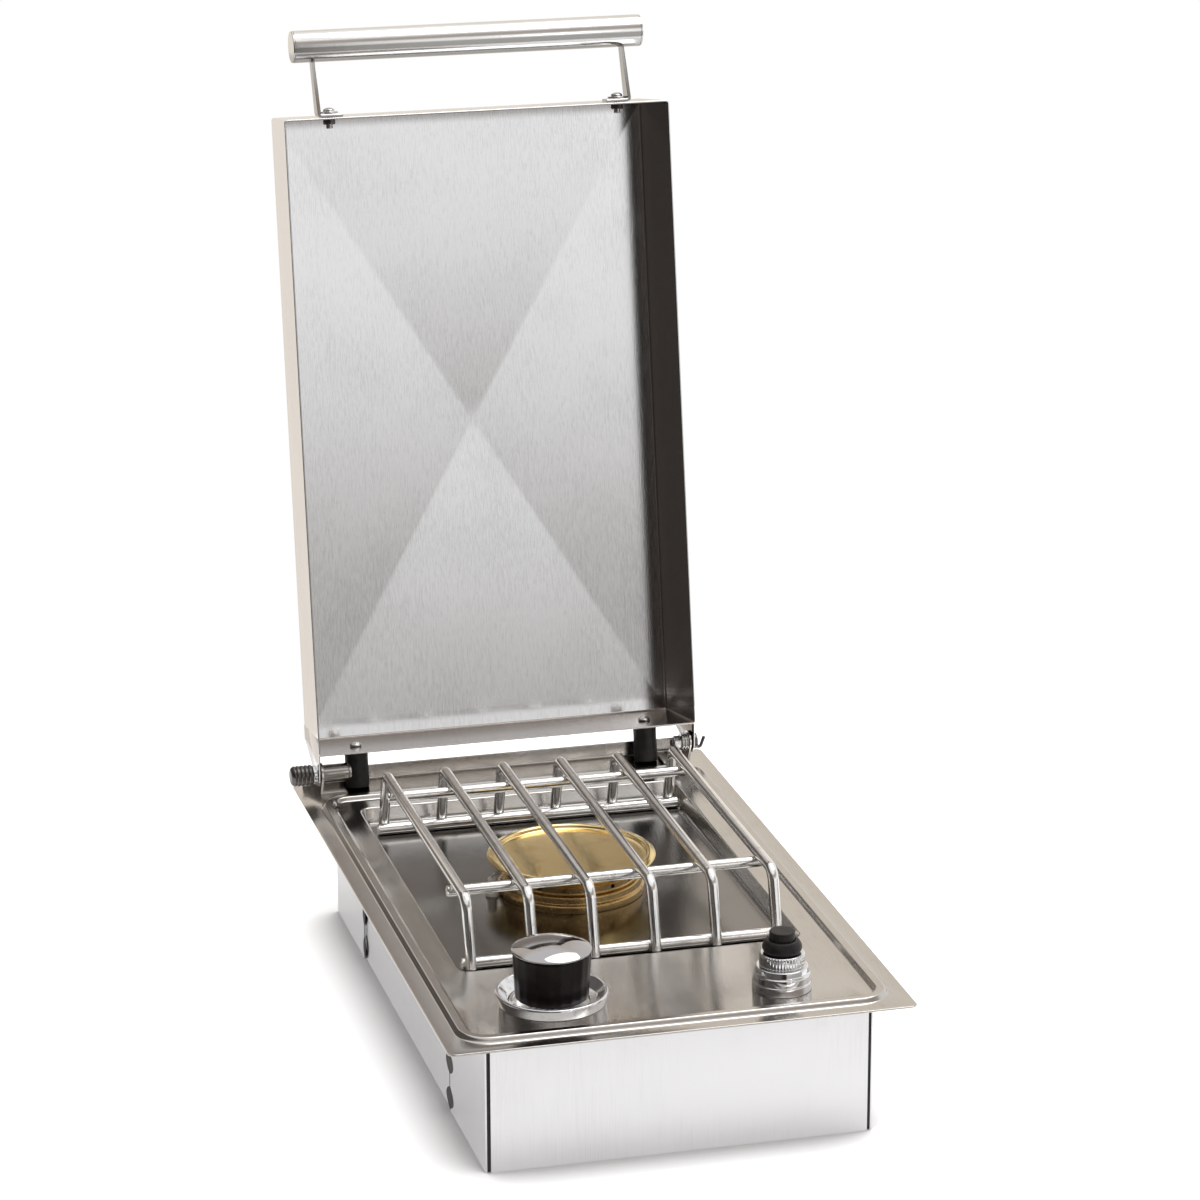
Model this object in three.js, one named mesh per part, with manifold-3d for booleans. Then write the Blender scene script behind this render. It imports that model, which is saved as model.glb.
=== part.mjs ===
// Built-in side burner: a drop-in stainless gas burner with a hinged lid, shown open.
// Millimetres, +Z up, +X right, +Y to the rear, the controls at the front.
import * as THREE from 'three';
import { ConvexGeometry } from 'three/addons/geometries/ConvexGeometry.js';
import { mergeVertices } from 'three/addons/utils/BufferGeometryUtils.js';
import Module from 'manifold-3d';

const wasm = await Module();
wasm.setup();

// facets: how many sides round solids get
const fineSides = 36;
const roundSides = 24;
const smallSides = 16;
const tinySides = 10;

// driving dimensions: clearances and cuts
const overrun = 5;
const runningGap = 0.3;
const pinGap = 0.2;
const weldSink = 0.8;

// driving dimensions: box
const sideOverhang = 28;
const rearOverhang = 32.5;
const boxHeight = 94;
const boxSheet = 1.2;
const cornerReveal = 3.4;
const panelReturn = 12;
const frontSheetLength = 109;
const rearReturnLength = 101;
const sideLap = 9;
const panFlange = 12;
const notchHeight = 18;
const notchWidth = 7;
const notchPitch = 26.5;
const lowestNotch = 9.5;
const notchCount = 3;

// driving dimensions: top plate
const plateWidth = 330;
const plateLength = 545;
const plateSheet = 1.5;
const plateCorner = 5;
const frontOverhang = 13.5;
const beadMargin = 11.5;
const beadWidth = 11.5;
const beadHeight = 3.5;
const beadSlope = 2.5;
const beadCorner = 24;
const rearStripLength = 37;
const upstandHeight = 11.5;
const upstandInset = 8;
const deckLength = 139.5;
const wellSideMargin = 11.5;
const wellRearMargin = 64.5;
const wellDepth = 12.5;
const wellSlope = 4;
const wellCorner = 10;

// driving dimensions: lid and hinge
const hingeSetback = 27.5;
const hingeHeight = 17.1;
const lidLean = 9.8;
const lidSheet = 1.2;
const lidDepth = 72.8;
const lidFlare = 3;
const lipInset = 0.5;
const lipFrontInset = 0.3;
const lipGap = 0.3;
const crossBreak = 3.5;
const earReach = 15.7;
const earRadius = 9;
const earSink = 6;
const pinRadius = 2.9;
const bracketSheet = 1.6;
const bracketFootWidth = 21;
const bracketFootLength = 18;
const bracketFootReach = 1.5;
const bracketGap = 1.6;
const capRadius = 8;
const capLength = 17.3;
const capFlutes = 12;
const capFluteDepth = 0.45;
const capBevel = 1.2;
const washerRadius = 7.2;
const washerThick = 3;
const washerGap = 0.6;
const spacerRadius = 7.2;
const spacerLength = 20;
const pinEndLength = 2;
const earSteps = 8;
const hingeNutRadius = 6.2;
const hingeNutThick = 6;
const washerStackThick = 5.4;
const washerGrooves = 2;
const washerGrooveDepth = 1.1;
const pinHeadRadius = 6;
const pinHeadThick = 3;
const hookWire = 1.3;
const hookRoot = 1.5;
const hookLow = 2.5;
const hookDrop = 8;
const hookReach = 6.5;
const hookTip = 3;
const hookBend = 1.8;

// driving dimensions: lid stops
const stopRadius = 9.3;
const stopInset = 31.5;
const stopDepth = 45;
const stopBevel = 0.8;
const stopScrewRadius = 2.1;
const stopScrewLength = 16;
const stopScrewHead = 4.6;
const stopScrewHeadHeight = 3;

// driving dimensions: handle
const handleRadius = 12.2;
const handleWall = 1.5;
const handleInset = 13.5;
const handleReach = 54;
const handleDepth = 44;
const handleCapFace = 1.5;
const handleCapPlug = 8;
const strapThick = 2.5;
const strapWidth = 14;
const strapInset = 15.5;
const strapFootLength = 19.5;
const strapTipWidth = 8;
const strapTipEntry = 1.2;
const strapShoulderGap = 0.5;
const footDepth = 57;
const boltRadius = 2.5;
const boltWasherRadius = 7;
const boltWasherThick = 1.3;
const boltHeadRadius = 4.4;
const boltHeadHeight = 3;
const boltTail = 8.5;
const nutRadius = 4.9;
const nutThick = 3.8;

// driving dimensions: grate
const rodRadius = 4;
const rodCount = 6;
const grateSideClear = 13;
const grateShiftX = 2;
const grateHeight = 50.2;
const grateSetback = 27;
const grateRearSetback = 20;
const legSplay = 14;
const legClear = 2.2;
const rodBend = 11;
const highBarFrontInset = 36;
const highBarRearInset = 30;
const barOverhang = 6;
const footGap = 0.3;
const rodSides = 8;
const bendSteps = 3;

// driving dimensions: burner and mixing tube
const burnerShiftX = -1.5;
const burnerShiftY = -1.5;
const burnerRadius = 54.5;
const burnerStepHeight = 5.5;
const burnerTierRadius = 52;
const burnerTierHeight = 12.5;
const crownRadius = 48.5;
const crownHeight = 19;
const crownWall = 4;
const burnerFloor = 3;
const burnerBevel = 1;
const portCount = 16;
const portWidth = 3;
const portHeight = 2.6;
const portRise = 14.2;
const cupCapRadius = 62.5;
const cupCapHeight = 9.5;
const cupCapSheet = 2.4;
const cupCapSeatRadius = 52.5;
const cupCapRim = 2;
const cupCapLip = 2.5;
const mixRadius = 13;
const mixWall = 1.5;
const mixBend = 28;
const mixDrop = 36.5;
const mixMouthReach = 148;
const shutterWall = 1.1;
const shutterLength = 22;
const shutterHole = 6.5;
const windowLength = 12;
const windowWidth = 13;
const mixBracketSheet = 1.6;
const mixBracketWidth = 44;
const mixBracketFoot = 14;
const mixBracketReach = 74;
const mixBracketShoulder = 15;

// driving dimensions: knob and gas valve
const knobSideClear = 61.6;
const knobFrontInset = 74.2;
const knobFootRadius = 25.5;
const knobTopRadius = 27.4;
const knobHeight = 33.7;
const knobRise = 3.7;
const knobCapEdge = 0.4;
const knobFlutes = 20;
const knobFluteDepth = 0.5;
const knobBowl = 5;
const knobBowlRadius = 20;
const knobHubRadius = 9;
const stemRadius = 4;
const stemEntry = 22;
const knobCapBand = 0.8;
const knobCapDome = 60;
const domeSteps = 5;
const knobPush = 3.5;
const bezelFootRadius = 37.5;
const bezelRimRadius = 39.3;
const bezelHeight = 8.6;
const bezelRim = 1;
const bezelFloor = 1.2;
const bezelDishRadius = 29;
const bezelHole = 26.5;
const valveBracketDrop = 8;
const valveBracketWidth = 26;
const valveBracketLength = 60;
const valveBracketSheet = 1.6;
const valveBracketFoot = 12;
const valveRadius = 13;
const valveLength = 31;
const valveBaseRadius = 8;
const valveBaseLength = 5;
const plugRadius = 7;
const plugLength = 14;
const plugSlotDepth = 3;
const portRadius = 7;
const portLength = 9;

// driving dimensions: igniter
const igniterSideClear = 53;
const igniterFrontInset = 56.5;
const igniterBaseRadius = 20.75;
const igniterTopRadius = 18.2;
const igniterBaseHeight = 17;
const igniterStepHeight = 6;
const igniterTierRadius = 20.1;
const igniterTierHeight = 12;
const igniterBevel = 0.8;
const ringRadius = 16;
const ringHeight = 9.4;
const ringFlutes = 18;
const ringFluteDepth = 0.5;
const ringBevel = 1;
const collarRadius = 13.85;
const collarHeight = 9.3;
const collarWaist = 1.6;
const collarBevel = 1.2;
const buttonRadius = 9;
const buttonRise = 6.2;
const buttonBevel = 0.9;
const buttonStem = 5;
const buttonPush = 5;
const piezoRadius = 11;
const piezoLength = 42;
const piezoFlange = 14;
const piezoFlangeThick = 2;
const piezoTip = 3;
const leadRadius = 1.8;
const leadRise = 20;
const leadBend = 12;
const ceramicRadius = 3.5;
const ceramicBelow = 20;
const ceramicAbove = 13.5;
const ceramicShoulder = 5;
const ceramicShoulderHeight = 3;
const electrodeClear = 2;
const wireRadius = 0.9;
const wireRise = 3;
const wireReach = 7;

// driving dimensions: gas line
const gasTubeRadius = 4;
const inletTubeRadius = 5;
const inletSideClear = 23.6;
const inletBend = 12;
const inletHexRadius = 11;
const inletHexLength = 8;
const inletThreadRadius = 8;
const inletThreadLength = 13;
const inletInnerLength = 9;
const inletBore = 2.5;
const orificeRadius = 6.5;
const orificeLength = 18;
const orificeTip = 3;
const orificeTipLength = 7;
const supplyBend = 10;

// derived places
const plateHalf = plateWidth / 2;
const boxHalf = plateHalf - sideOverhang;
const wellHalf = boxHalf - wellSideMargin;
const plateFront = -plateLength / 2;
const plateRear = plateLength / 2;
const boxFront = plateFront + frontOverhang;
const boxRear = plateRear - rearOverhang;
const plateTop = boxHeight + plateSheet;
const beadTop = plateTop + beadHeight;
const wellFloor = plateTop - wellDepth;
const beadOutline = {
  half: plateHalf - beadMargin,
  front: plateFront + beadMargin,
  rear: plateRear - rearStripLength,
  corner: beadCorner,
};
const wellOutline = {
  half: wellHalf,
  front: plateFront + deckLength,
  rear: plateRear - wellRearMargin,
  corner: wellCorner,
};
const burnerX = burnerShiftX;
const burnerY = (wellOutline.front + wellOutline.rear) / 2 + burnerShiftY;
const rodPitch = (2 * (wellHalf - grateSideClear)) / (rodCount - 1);
const knobX = knobSideClear - boxHalf;
const knobY = plateFront + knobFrontInset;
const igniterX = boxHalf - igniterSideClear;
const igniterY = plateFront + igniterFrontInset;
const electrodeX = burnerX - burnerRadius - electrodeClear - ceramicRadius;
const pivotY = plateRear - hingeSetback;
const pivotZ = plateTop + hingeHeight;
const mixAxisZ = wellFloor - plateSheet - mixDrop;
const mixMouthY = burnerY - mixMouthReach;
const valveTop = boxHeight - valveBracketDrop - valveBracketSheet;
const valvePortZ = valveTop - valveLength / 2;
const inletX = inletSideClear - boxHalf;

// the lid's own frame: origin on the pins, z up the lid's face, y out of its back
const lipY = -(hingeHeight - beadHeight - lipGap);
const rootY = lipY + lidDepth;
const lipHalf = beadOutline.half - beadSlope - lipInset;
const rootHalf = lipHalf - lidFlare;
const lidLength = pivotY - earReach - (beadOutline.front + beadSlope + lipFrontInset);
const lidTop = earReach + lidLength;
const handleZ = lidTop + handleReach;
const handleY = rootY - handleDepth;
const footY = rootY - footDepth;
const stopY = rootY - stopDepth;
const stopX = rootHalf - stopInset;
const handleHalf = lipHalf - handleInset;
const strapX = handleHalf - strapInset;
const boltX = strapX + strapThick / 2 - strapFootLength / 2;

// finishes: colour, roughness, metalness
const finishes = {
  satinSteel: [0x8f8b80, 0.32, 1],
  brightSteel: [0xd9d8da, 0.18, 1],
  lidSteel: [0xa9a9a7, 0.38, 1],
  polished: [0xc9c7c2, 0.12, 1],
  chrome: [0xe4e4e6, 0.06, 1],
  darkSteel: [0x4a4744, 0.35, 1],
  brass: [0xc9a24a, 0.22, 1],
  blackRubber: [0x1d1a19, 0.62, 0],
  blackGloss: [0x1b1716, 0.16, 0],
  zincSteel: [0xa7a5a0, 0.4, 1],
  ceramic: [0xe9e5da, 0.35, 0],
  leadBlack: [0x26221f, 0.5, 0],
};

const burner = new THREE.Group();
burner.name = 'side_burner';
const lid = new THREE.Group();
lid.name = 'lid';
lid.position.set(0, pivotY, pivotZ);
lid.rotation.x = -THREE.MathUtils.degToRad(lidLean);
burner.add(lid);

// a closed solid from a geometry, its faces turned outward
function solid(geometry) {
  const plain = geometry.clone();
  plain.deleteAttribute('normal');
  plain.deleteAttribute('uv');
  const merged = mergeVertices(plain);
  const points = merged.attributes.position.array;
  const triangles = [];
  let volume = 0;
  const [a, b, c] = [new THREE.Vector3(), new THREE.Vector3(), new THREE.Vector3()];
  for (let i = 0; i < merged.index.count; i += 3) {
    const corner = [0, 1, 2].map((k) => merged.index.getX(i + k));
    if (new Set(corner).size < corner.length) continue;
    triangles.push(corner);
    [a, b, c].forEach((v, k) => v.fromArray(points, 3 * corner[k]));
    volume += a.dot(b.cross(c));
  }
  if (volume < 0) triangles.forEach((corner) => corner.reverse());
  return new wasm.Manifold(new wasm.Mesh({
    numProp: 3,
    vertProperties: Float32Array.from(points),
    triVerts: Uint32Array.from(triangles.flat()),
  }));
}

// a geometry from a closed solid
function geometryOf(body) {
  const result = body.getMesh();
  const geometry = new THREE.BufferGeometry();
  const points = Float32Array.from(result.vertProperties);
  geometry.setAttribute('position', new THREE.BufferAttribute(points, 3));
  geometry.setIndex(new THREE.BufferAttribute(Uint32Array.from(result.triVerts), 1));
  geometry.computeVertexNormals();
  return geometry;
}

const join = (first, ...rest) => rest.reduce((sum, next) => sum.add(next), first);
const cut = (first, ...rest) => rest.reduce((sum, next) => sum.subtract(next), first);

// one named mesh with a material of its own
function piece(group, name, body, finish) {
  const [color, roughness, metalness] = finishes[finish];
  const material = new THREE.MeshStandardMaterial({ color, roughness, metalness, flatShading: true });
  const mesh = new THREE.Mesh(geometryOf(body), material);
  mesh.name = name;
  group.add(mesh);
  return mesh;
}

const polygon = (points) => new THREE.Shape(points.map(([u, v]) => new THREE.Vector2(u, v)));

// a straight prism of an outline drawn in x and y
function prism(shape, low, high, curveSegments = 6) {
  const settings = { depth: high - low, bevelEnabled: false, curveSegments };
  return solid(new THREE.ExtrudeGeometry(shape, settings).translate(0, 0, low));
}

// a prism along X of an outline drawn in y and z
function prismX(shape, low, high, curveSegments = 6) {
  const settings = { depth: high - low, bevelEnabled: false, curveSegments };
  const turn = new THREE.Matrix4().makeBasis(
    new THREE.Vector3(0, 1, 0),
    new THREE.Vector3(0, 0, 1),
    new THREE.Vector3(1, 0, 0),
  );
  const shapeBody = new THREE.ExtrudeGeometry(shape, settings);
  return solid(shapeBody.translate(0, 0, low).applyMatrix4(turn));
}

// a prism along Y of an outline drawn in x and z
function prismY(shape, low, high, curveSegments = 6) {
  const settings = { depth: high - low, bevelEnabled: false, curveSegments };
  const turn = new THREE.Matrix4().makeBasis(
    new THREE.Vector3(1, 0, 0),
    new THREE.Vector3(0, 0, 1),
    new THREE.Vector3(0, -1, 0),
  );
  return solid(new THREE.ExtrudeGeometry(shape, settings).applyMatrix4(turn).translate(0, high, 0));
}

// a box between two corners
function block(x0, x1, y0, y1, z0, z1) {
  return prism(polygon([[x0, y0], [x1, y0], [x1, y1], [x0, y1]]), z0, z1);
}

// a turned solid: a profile of radius and height, on an axis through x, y
function turned(profile, x, y, sides = roundSides) {
  const points = profile.map(([r, z]) => new THREE.Vector2(r, z));
  const lathe = new THREE.LatheGeometry(points, sides);
  return solid(lathe.rotateX(Math.PI / 2).translate(x, y, 0));
}

// a turned solid along X, the profile's heights measured along X
function turnedX(profile, y, z, sides = smallSides) {
  const points = profile.map(([r, x]) => new THREE.Vector2(r, x));
  const lathe = new THREE.LatheGeometry(points, sides);
  return solid(lathe.rotateZ(-Math.PI / 2).translate(0, y, z));
}

// a turned solid along Y, the profile's heights measured along Y
function turnedY(profile, x, z, sides = smallSides) {
  const points = profile.map(([r, y]) => new THREE.Vector2(r, y));
  const lathe = new THREE.LatheGeometry(points, sides);
  return solid(lathe.translate(x, 0, z));
}

const drum = (radius, low, high) => [[0, low], [radius, low], [radius, high], [0, high]];
const sleeve = (bore, radius, low, high) => [
  [bore, low], [radius, low], [radius, high], [bore, high], [bore, low],
];

// flutes round a turned solid: every second line of its outer wall is drawn in
function fluted(profile, x, y, flutes, depth, fromRadius) {
  const points = profile.map(([r, z]) => new THREE.Vector2(r, z));
  const lathe = new THREE.LatheGeometry(points, 2 * flutes);
  const place = lathe.attributes.position;
  for (let i = 0; i < place.count; i += 1) {
    const radius = Math.hypot(place.getX(i), place.getZ(i));
    const line = Math.floor(i / points.length) % 2;
    if (radius < fromRadius || line === 0) continue;
    const share = (radius - depth) / radius;
    place.setX(i, place.getX(i) * share);
    place.setZ(i, place.getZ(i) * share);
  }
  return lathe.rotateX(Math.PI / 2).translate(x, y, 0);
}

// a route through points whose corners are rounded with arcs
class BentPath extends THREE.Curve {
  constructor(corners, radius, steps = bendSteps) {
    super();
    this.points = [corners[0]];
    for (let i = 1; i < corners.length - 1; i += 1) {
      const before = corners[i - 1].clone().sub(corners[i]).normalize();
      const after = corners[i + 1].clone().sub(corners[i]).normalize();
      const half = before.angleTo(after) / 2;
      const centre = before.clone().add(after).normalize();
      centre.multiplyScalar(radius / Math.sin(half)).add(corners[i]);
      const start = before.clone().multiplyScalar(radius / Math.tan(half)).add(corners[i]).sub(centre);
      const end = after.clone().multiplyScalar(radius / Math.tan(half)).add(corners[i]).sub(centre);
      const axis = start.clone().cross(end).normalize();
      const sweep = start.angleTo(end);
      for (let k = 0; k <= steps; k += 1) {
        this.points.push(start.clone().applyAxisAngle(axis, (sweep * k) / steps).add(centre));
      }
    }
    this.points.push(corners[corners.length - 1]);
  }

  getPoint(t, target = new THREE.Vector3()) {
    const place = Math.min(Math.max(t, 0), 1) * (this.points.length - 1);
    const index = Math.min(Math.floor(place), this.points.length - 2);
    return target.lerpVectors(this.points[index], this.points[index + 1], place - index);
  }

  getPointAt(t, target) {
    return this.getPoint(t, target);
  }

  getTangentAt(t, target) {
    return this.getTangent(t, target);
  }

  getSpacedPoints(count) {
    return this.getPoints(count);
  }
}

// a round bar or tube along a bent path
function bentTube(corners, radius, bend, sides, bore = 0, steps = bendSteps) {
  const route = new BentPath(corners.map((p) => new THREE.Vector3(...p)), bend, steps);
  const circle = (r) => Array.from({ length: sides }, (_, k) => {
    const angle = (2 * Math.PI * k) / sides;
    return new THREE.Vector2(r * Math.cos(angle), r * Math.sin(angle));
  });
  const section = new THREE.Shape(circle(radius));
  if (bore > 0) section.holes.push(new THREE.Path(circle(bore)));
  const settings = { steps: route.points.length - 1, extrudePath: route, bevelEnabled: false };
  return solid(new THREE.ExtrudeGeometry(section, settings));
}

// the points of a rounded outline at one height
function ring({ half, front, rear, corner }, z, steps = 5) {
  const points = [];
  const centres = [
    [half - corner, rear - corner],
    [corner - half, rear - corner],
    [corner - half, front + corner],
    [half - corner, front + corner],
  ];
  centres.forEach(([x, y], quarter) => {
    for (let k = 0; k <= steps; k += 1) {
      const angle = (Math.PI / 2) * (quarter + k / steps);
      points.push(new THREE.Vector3(x + corner * Math.cos(angle), y + corner * Math.sin(angle), z));
    }
  });
  return points;
}

function drawnIn(outline, inset) {
  const { half, front, rear, corner } = outline;
  return { half: half - inset, front: front + inset, rear: rear - inset, corner: corner - inset };
}

// a solid that runs from outline to outline, from the lowest to the highest
function stack(...levels) {
  return solid(new ConvexGeometry(levels.flatMap(([outline, z]) => ring(outline, z))));
}

const mirrored = (build) => [['left', -1], ['right', 1]].forEach(([side, sign]) => build(side, sign));
const between = (a, b) => [Math.min(a, b), Math.max(a, b)];

// the pressed top plate: bead, well, rear upstand and holes
function topPlate() {
  const plateOutline = { half: plateHalf, front: plateFront, rear: plateRear, corner: plateCorner };
  const buried = boxHeight + plateSheet / 2;
  const flat = stack([plateOutline, boxHeight], [plateOutline, plateTop]);
  const beadInner = drawnIn(beadOutline, beadWidth);
  const ridge = cut(
    stack([beadOutline, buried], [beadOutline, plateTop], [drawnIn(beadOutline, beadSlope), beadTop]),
    stack(
      [beadInner, buried - overrun],
      [beadInner, plateTop],
      [drawnIn(beadInner, -beadSlope), beadTop],
      [drawnIn(beadInner, -beadSlope), beadTop + overrun],
    ),
  );
  const grooveTop = beadTop - plateSheet;
  const groove = cut(
    stack(
      [drawnIn(beadOutline, plateSheet), boxHeight - overrun],
      [drawnIn(beadOutline, plateSheet), boxHeight],
      [drawnIn(beadOutline, plateSheet + beadSlope), grooveTop],
    ),
    stack(
      [drawnIn(beadInner, -plateSheet), boxHeight - 2 * overrun],
      [drawnIn(beadInner, -plateSheet), boxHeight],
      [drawnIn(beadInner, -plateSheet - beadSlope), grooveTop],
      [drawnIn(beadInner, -plateSheet - beadSlope), grooveTop + overrun],
    ),
  );
  const wellInner = drawnIn(wellOutline, wellSlope);
  const wellShell = stack(
    [drawnIn(wellInner, -plateSheet), wellFloor - plateSheet],
    [drawnIn(wellOutline, -plateSheet), buried],
  );
  const wellHollow = stack(
    [wellInner, wellFloor],
    [wellOutline, plateTop],
    [wellOutline, beadTop + overrun],
  );
  const upstandHalf = plateHalf - upstandInset;
  const upstand = block(
    -upstandHalf, upstandHalf, plateRear - plateSheet, plateRear, buried, plateTop + upstandHeight,
  );
  const low = wellFloor - plateSheet - overrun;
  const hole = (radius, x, y) => turned(drum(radius, low, beadTop), x, y, smallSides);
  return cut(
    join(flat, ridge, wellShell, upstand),
    groove,
    wellHollow,
    hole(mixRadius + pinGap, burnerX, burnerY),
    hole(ceramicRadius + pinGap, electrodeX, burnerY),
    hole(stemRadius + 2 * pinGap, knobX, knobY),
    hole(piezoRadius + pinGap, igniterX, igniterY),
  );
}

// lens-shaped vent notches over both seams, on one side of the box
function notches(sign) {
  const [x0, x1] = between(sign * (boxHalf - overrun), sign * (boxHalf + overrun));
  const seams = [boxFront + frontSheetLength, boxRear - rearReturnLength];
  const cuts = [];
  for (const y of seams) {
    for (let k = 0; k < notchCount; k += 1) {
      const z = lowestNotch + k * notchPitch;
      const lens = new THREE.Shape();
      lens.moveTo(y, z - notchHeight / 2);
      lens.quadraticCurveTo(y + notchWidth, z, y, z + notchHeight / 2);
      lens.quadraticCurveTo(y - notchWidth, z, y, z - notchHeight / 2);
      cuts.push(prismX(lens, x0, x1, 4));
    }
  }
  return cuts;
}

// the box below the plate
function box() {
  const faceHalf = boxHalf - cornerReveal;
  const returnEnd = boxFront + panelReturn;
  const faceBack = boxFront + boxSheet;
  piece(burner, 'front_panel', prism(polygon([
    [-faceHalf, boxFront], [faceHalf, boxFront], [faceHalf, returnEnd],
    [faceHalf - boxSheet, returnEnd], [faceHalf - boxSheet, faceBack],
    [boxSheet - faceHalf, faceBack], [boxSheet - faceHalf, returnEnd], [-faceHalf, returnEnd],
  ]), 0, boxHeight), 'brightSteel');

  const frontSeam = boxFront + frontSheetLength;
  const rearSeam = boxRear - rearReturnLength;
  const flangeFront = returnEnd + pinGap;
  const flangeEdge = faceHalf - boxSheet;
  mirrored((side, sign) => {
    const vents = notches(sign);
    const corner = prism(polygon([
      [sign * boxHalf, faceBack], [sign * boxHalf, frontSeam],
      [sign * (boxHalf - boxSheet), frontSeam], [sign * (boxHalf - boxSheet), flangeFront + boxSheet],
      [sign * flangeEdge, flangeFront + boxSheet], [sign * flangeEdge, flangeFront],
      [sign * (boxHalf - boxSheet), flangeFront], [sign * (boxHalf - boxSheet), faceBack],
    ]), 0, boxHeight);
    piece(burner, `front_corner_${side}`, cut(corner, ...vents), 'brightSteel');
    const [x0, x1] = between(sign * (boxHalf - 2 * boxSheet), sign * (boxHalf - boxSheet));
    const panel = block(x0, x1, frontSeam - sideLap, rearSeam + sideLap, 0, boxHeight);
    piece(burner, `side_panel_${side}`, cut(panel, ...vents), 'brightSteel');
  });

  const rear = prism(polygon([
    [boxHalf, boxRear], [-boxHalf, boxRear], [-boxHalf, rearSeam], [boxSheet - boxHalf, rearSeam],
    [boxSheet - boxHalf, boxRear - boxSheet], [boxHalf - boxSheet, boxRear - boxSheet],
    [boxHalf - boxSheet, rearSeam], [boxHalf, rearSeam],
  ]), 0, boxHeight);
  const inletHole = turnedY(
    drum(inletThreadRadius + pinGap, boxRear - overrun, boxRear + overrun), inletX, valvePortZ,
  );
  piece(burner, 'rear_panel', cut(rear, inletHole, ...notches(-1), ...notches(1)), 'brightSteel');

  const panHalf = flangeEdge - pinGap;
  const panRear = boxRear - boxSheet;
  const pan = cut(
    block(-panHalf, panHalf, faceBack, panRear, 0, panFlange),
    block(
      boxSheet - panHalf, panHalf - boxSheet, faceBack + boxSheet, panRear - boxSheet,
      boxSheet, panFlange + overrun,
    ),
  );
  piece(burner, 'bottom_pan', pan, 'zincSteel');
}

// the lid's half width at a place between its root and its lip
const sideX = (y) => rootHalf + (lidFlare * (rootY - y)) / lidDepth;

// one sheet: face with a cross break, four rims, and an ear at each rear corner
function lidPan() {
  const shell = (inset, lip, root, low, high) => {
    const points = [new THREE.Vector3(0, root + crossBreak, (low + high) / 2)];
    for (const sign of [-1, 1]) {
      for (const z of [low, high]) {
        points.push(new THREE.Vector3(sign * (sideX(lip) - inset), lip, z));
        points.push(new THREE.Vector3(sign * (sideX(root) - inset), root, z));
      }
    }
    return solid(new ConvexGeometry(points));
  };
  const outer = shell(0, lipY, rootY, earReach, lidTop);
  const inner = shell(
    lidSheet, lipY - overrun, rootY - lidSheet, earReach + lidSheet, lidTop - lidSheet,
  );
  const ear = (sign) => {
    const outline = [[lipY, earReach + earSink], [rootY, earReach + earSink], [rootY, earReach]];
    for (let k = 0; k < roundSides; k += 1) {
      const angle = (2 * Math.PI * k) / roundSides;
      outline.push([earRadius * Math.cos(angle), earRadius * Math.sin(angle)]);
    }
    const points = outline.flatMap(([y, z]) => [
      new THREE.Vector3(sign * sideX(y), y, z),
      new THREE.Vector3(sign * (sideX(y) - lidSheet), y, z),
    ]);
    return solid(new ConvexGeometry(points));
  };
  const pinHoles = turnedX(drum(pinRadius + pinGap, -plateHalf, plateHalf), 0, 0);
  const holes = [-1, 1].flatMap((sign) => [
    turned(drum(stopScrewRadius + pinGap, 0, earReach + overrun), sign * stopX, stopY, tinySides),
    turned(drum(boltRadius + pinGap, lidTop - overrun, lidTop + overrun), sign * boltX, footY, tinySides),
  ]);
  return cut(join(cut(outer, inner), ear(-1), ear(1)), pinHoles, ...holes);
}

// two rubber stops under the rear rim, which stand on the plate when the lid is open
function lidStops() {
  const lean = THREE.MathUtils.degToRad(lidLean);
  const top = earReach - runningGap;
  const reachDown = hingeHeight - runningGap - (stopY + stopRadius) * Math.sin(lean);
  const low = -reachDown / Math.cos(lean);
  const bore = stopScrewRadius + pinGap;
  const boreEnd = top - stopScrewLength;
  const headSeat = earReach + lidSheet + runningGap;
  mirrored((side, sign) => {
    const x = sign * stopX;
    piece(lid, `lid_stop_${side}`, turned([
      [0, low], [stopRadius - stopBevel, low], [stopRadius, low + stopBevel],
      [stopRadius, top - stopBevel], [stopRadius - stopBevel, top], [bore, top],
      [bore, boreEnd], [0, boreEnd],
    ], x, stopY, smallSides), 'blackRubber');
    piece(lid, `stop_screw_${side}`, turned([
      [0, boreEnd + runningGap], [stopScrewRadius, boreEnd + runningGap], [stopScrewRadius, headSeat],
      [stopScrewHead, headSeat], [stopScrewHead, headSeat + stopScrewHeadHeight / 2],
      [stopScrewHead / 2, headSeat + stopScrewHeadHeight], [0, headSeat + stopScrewHeadHeight],
    ], x, stopY, tinySides), 'zincSteel');
  });
}

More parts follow.
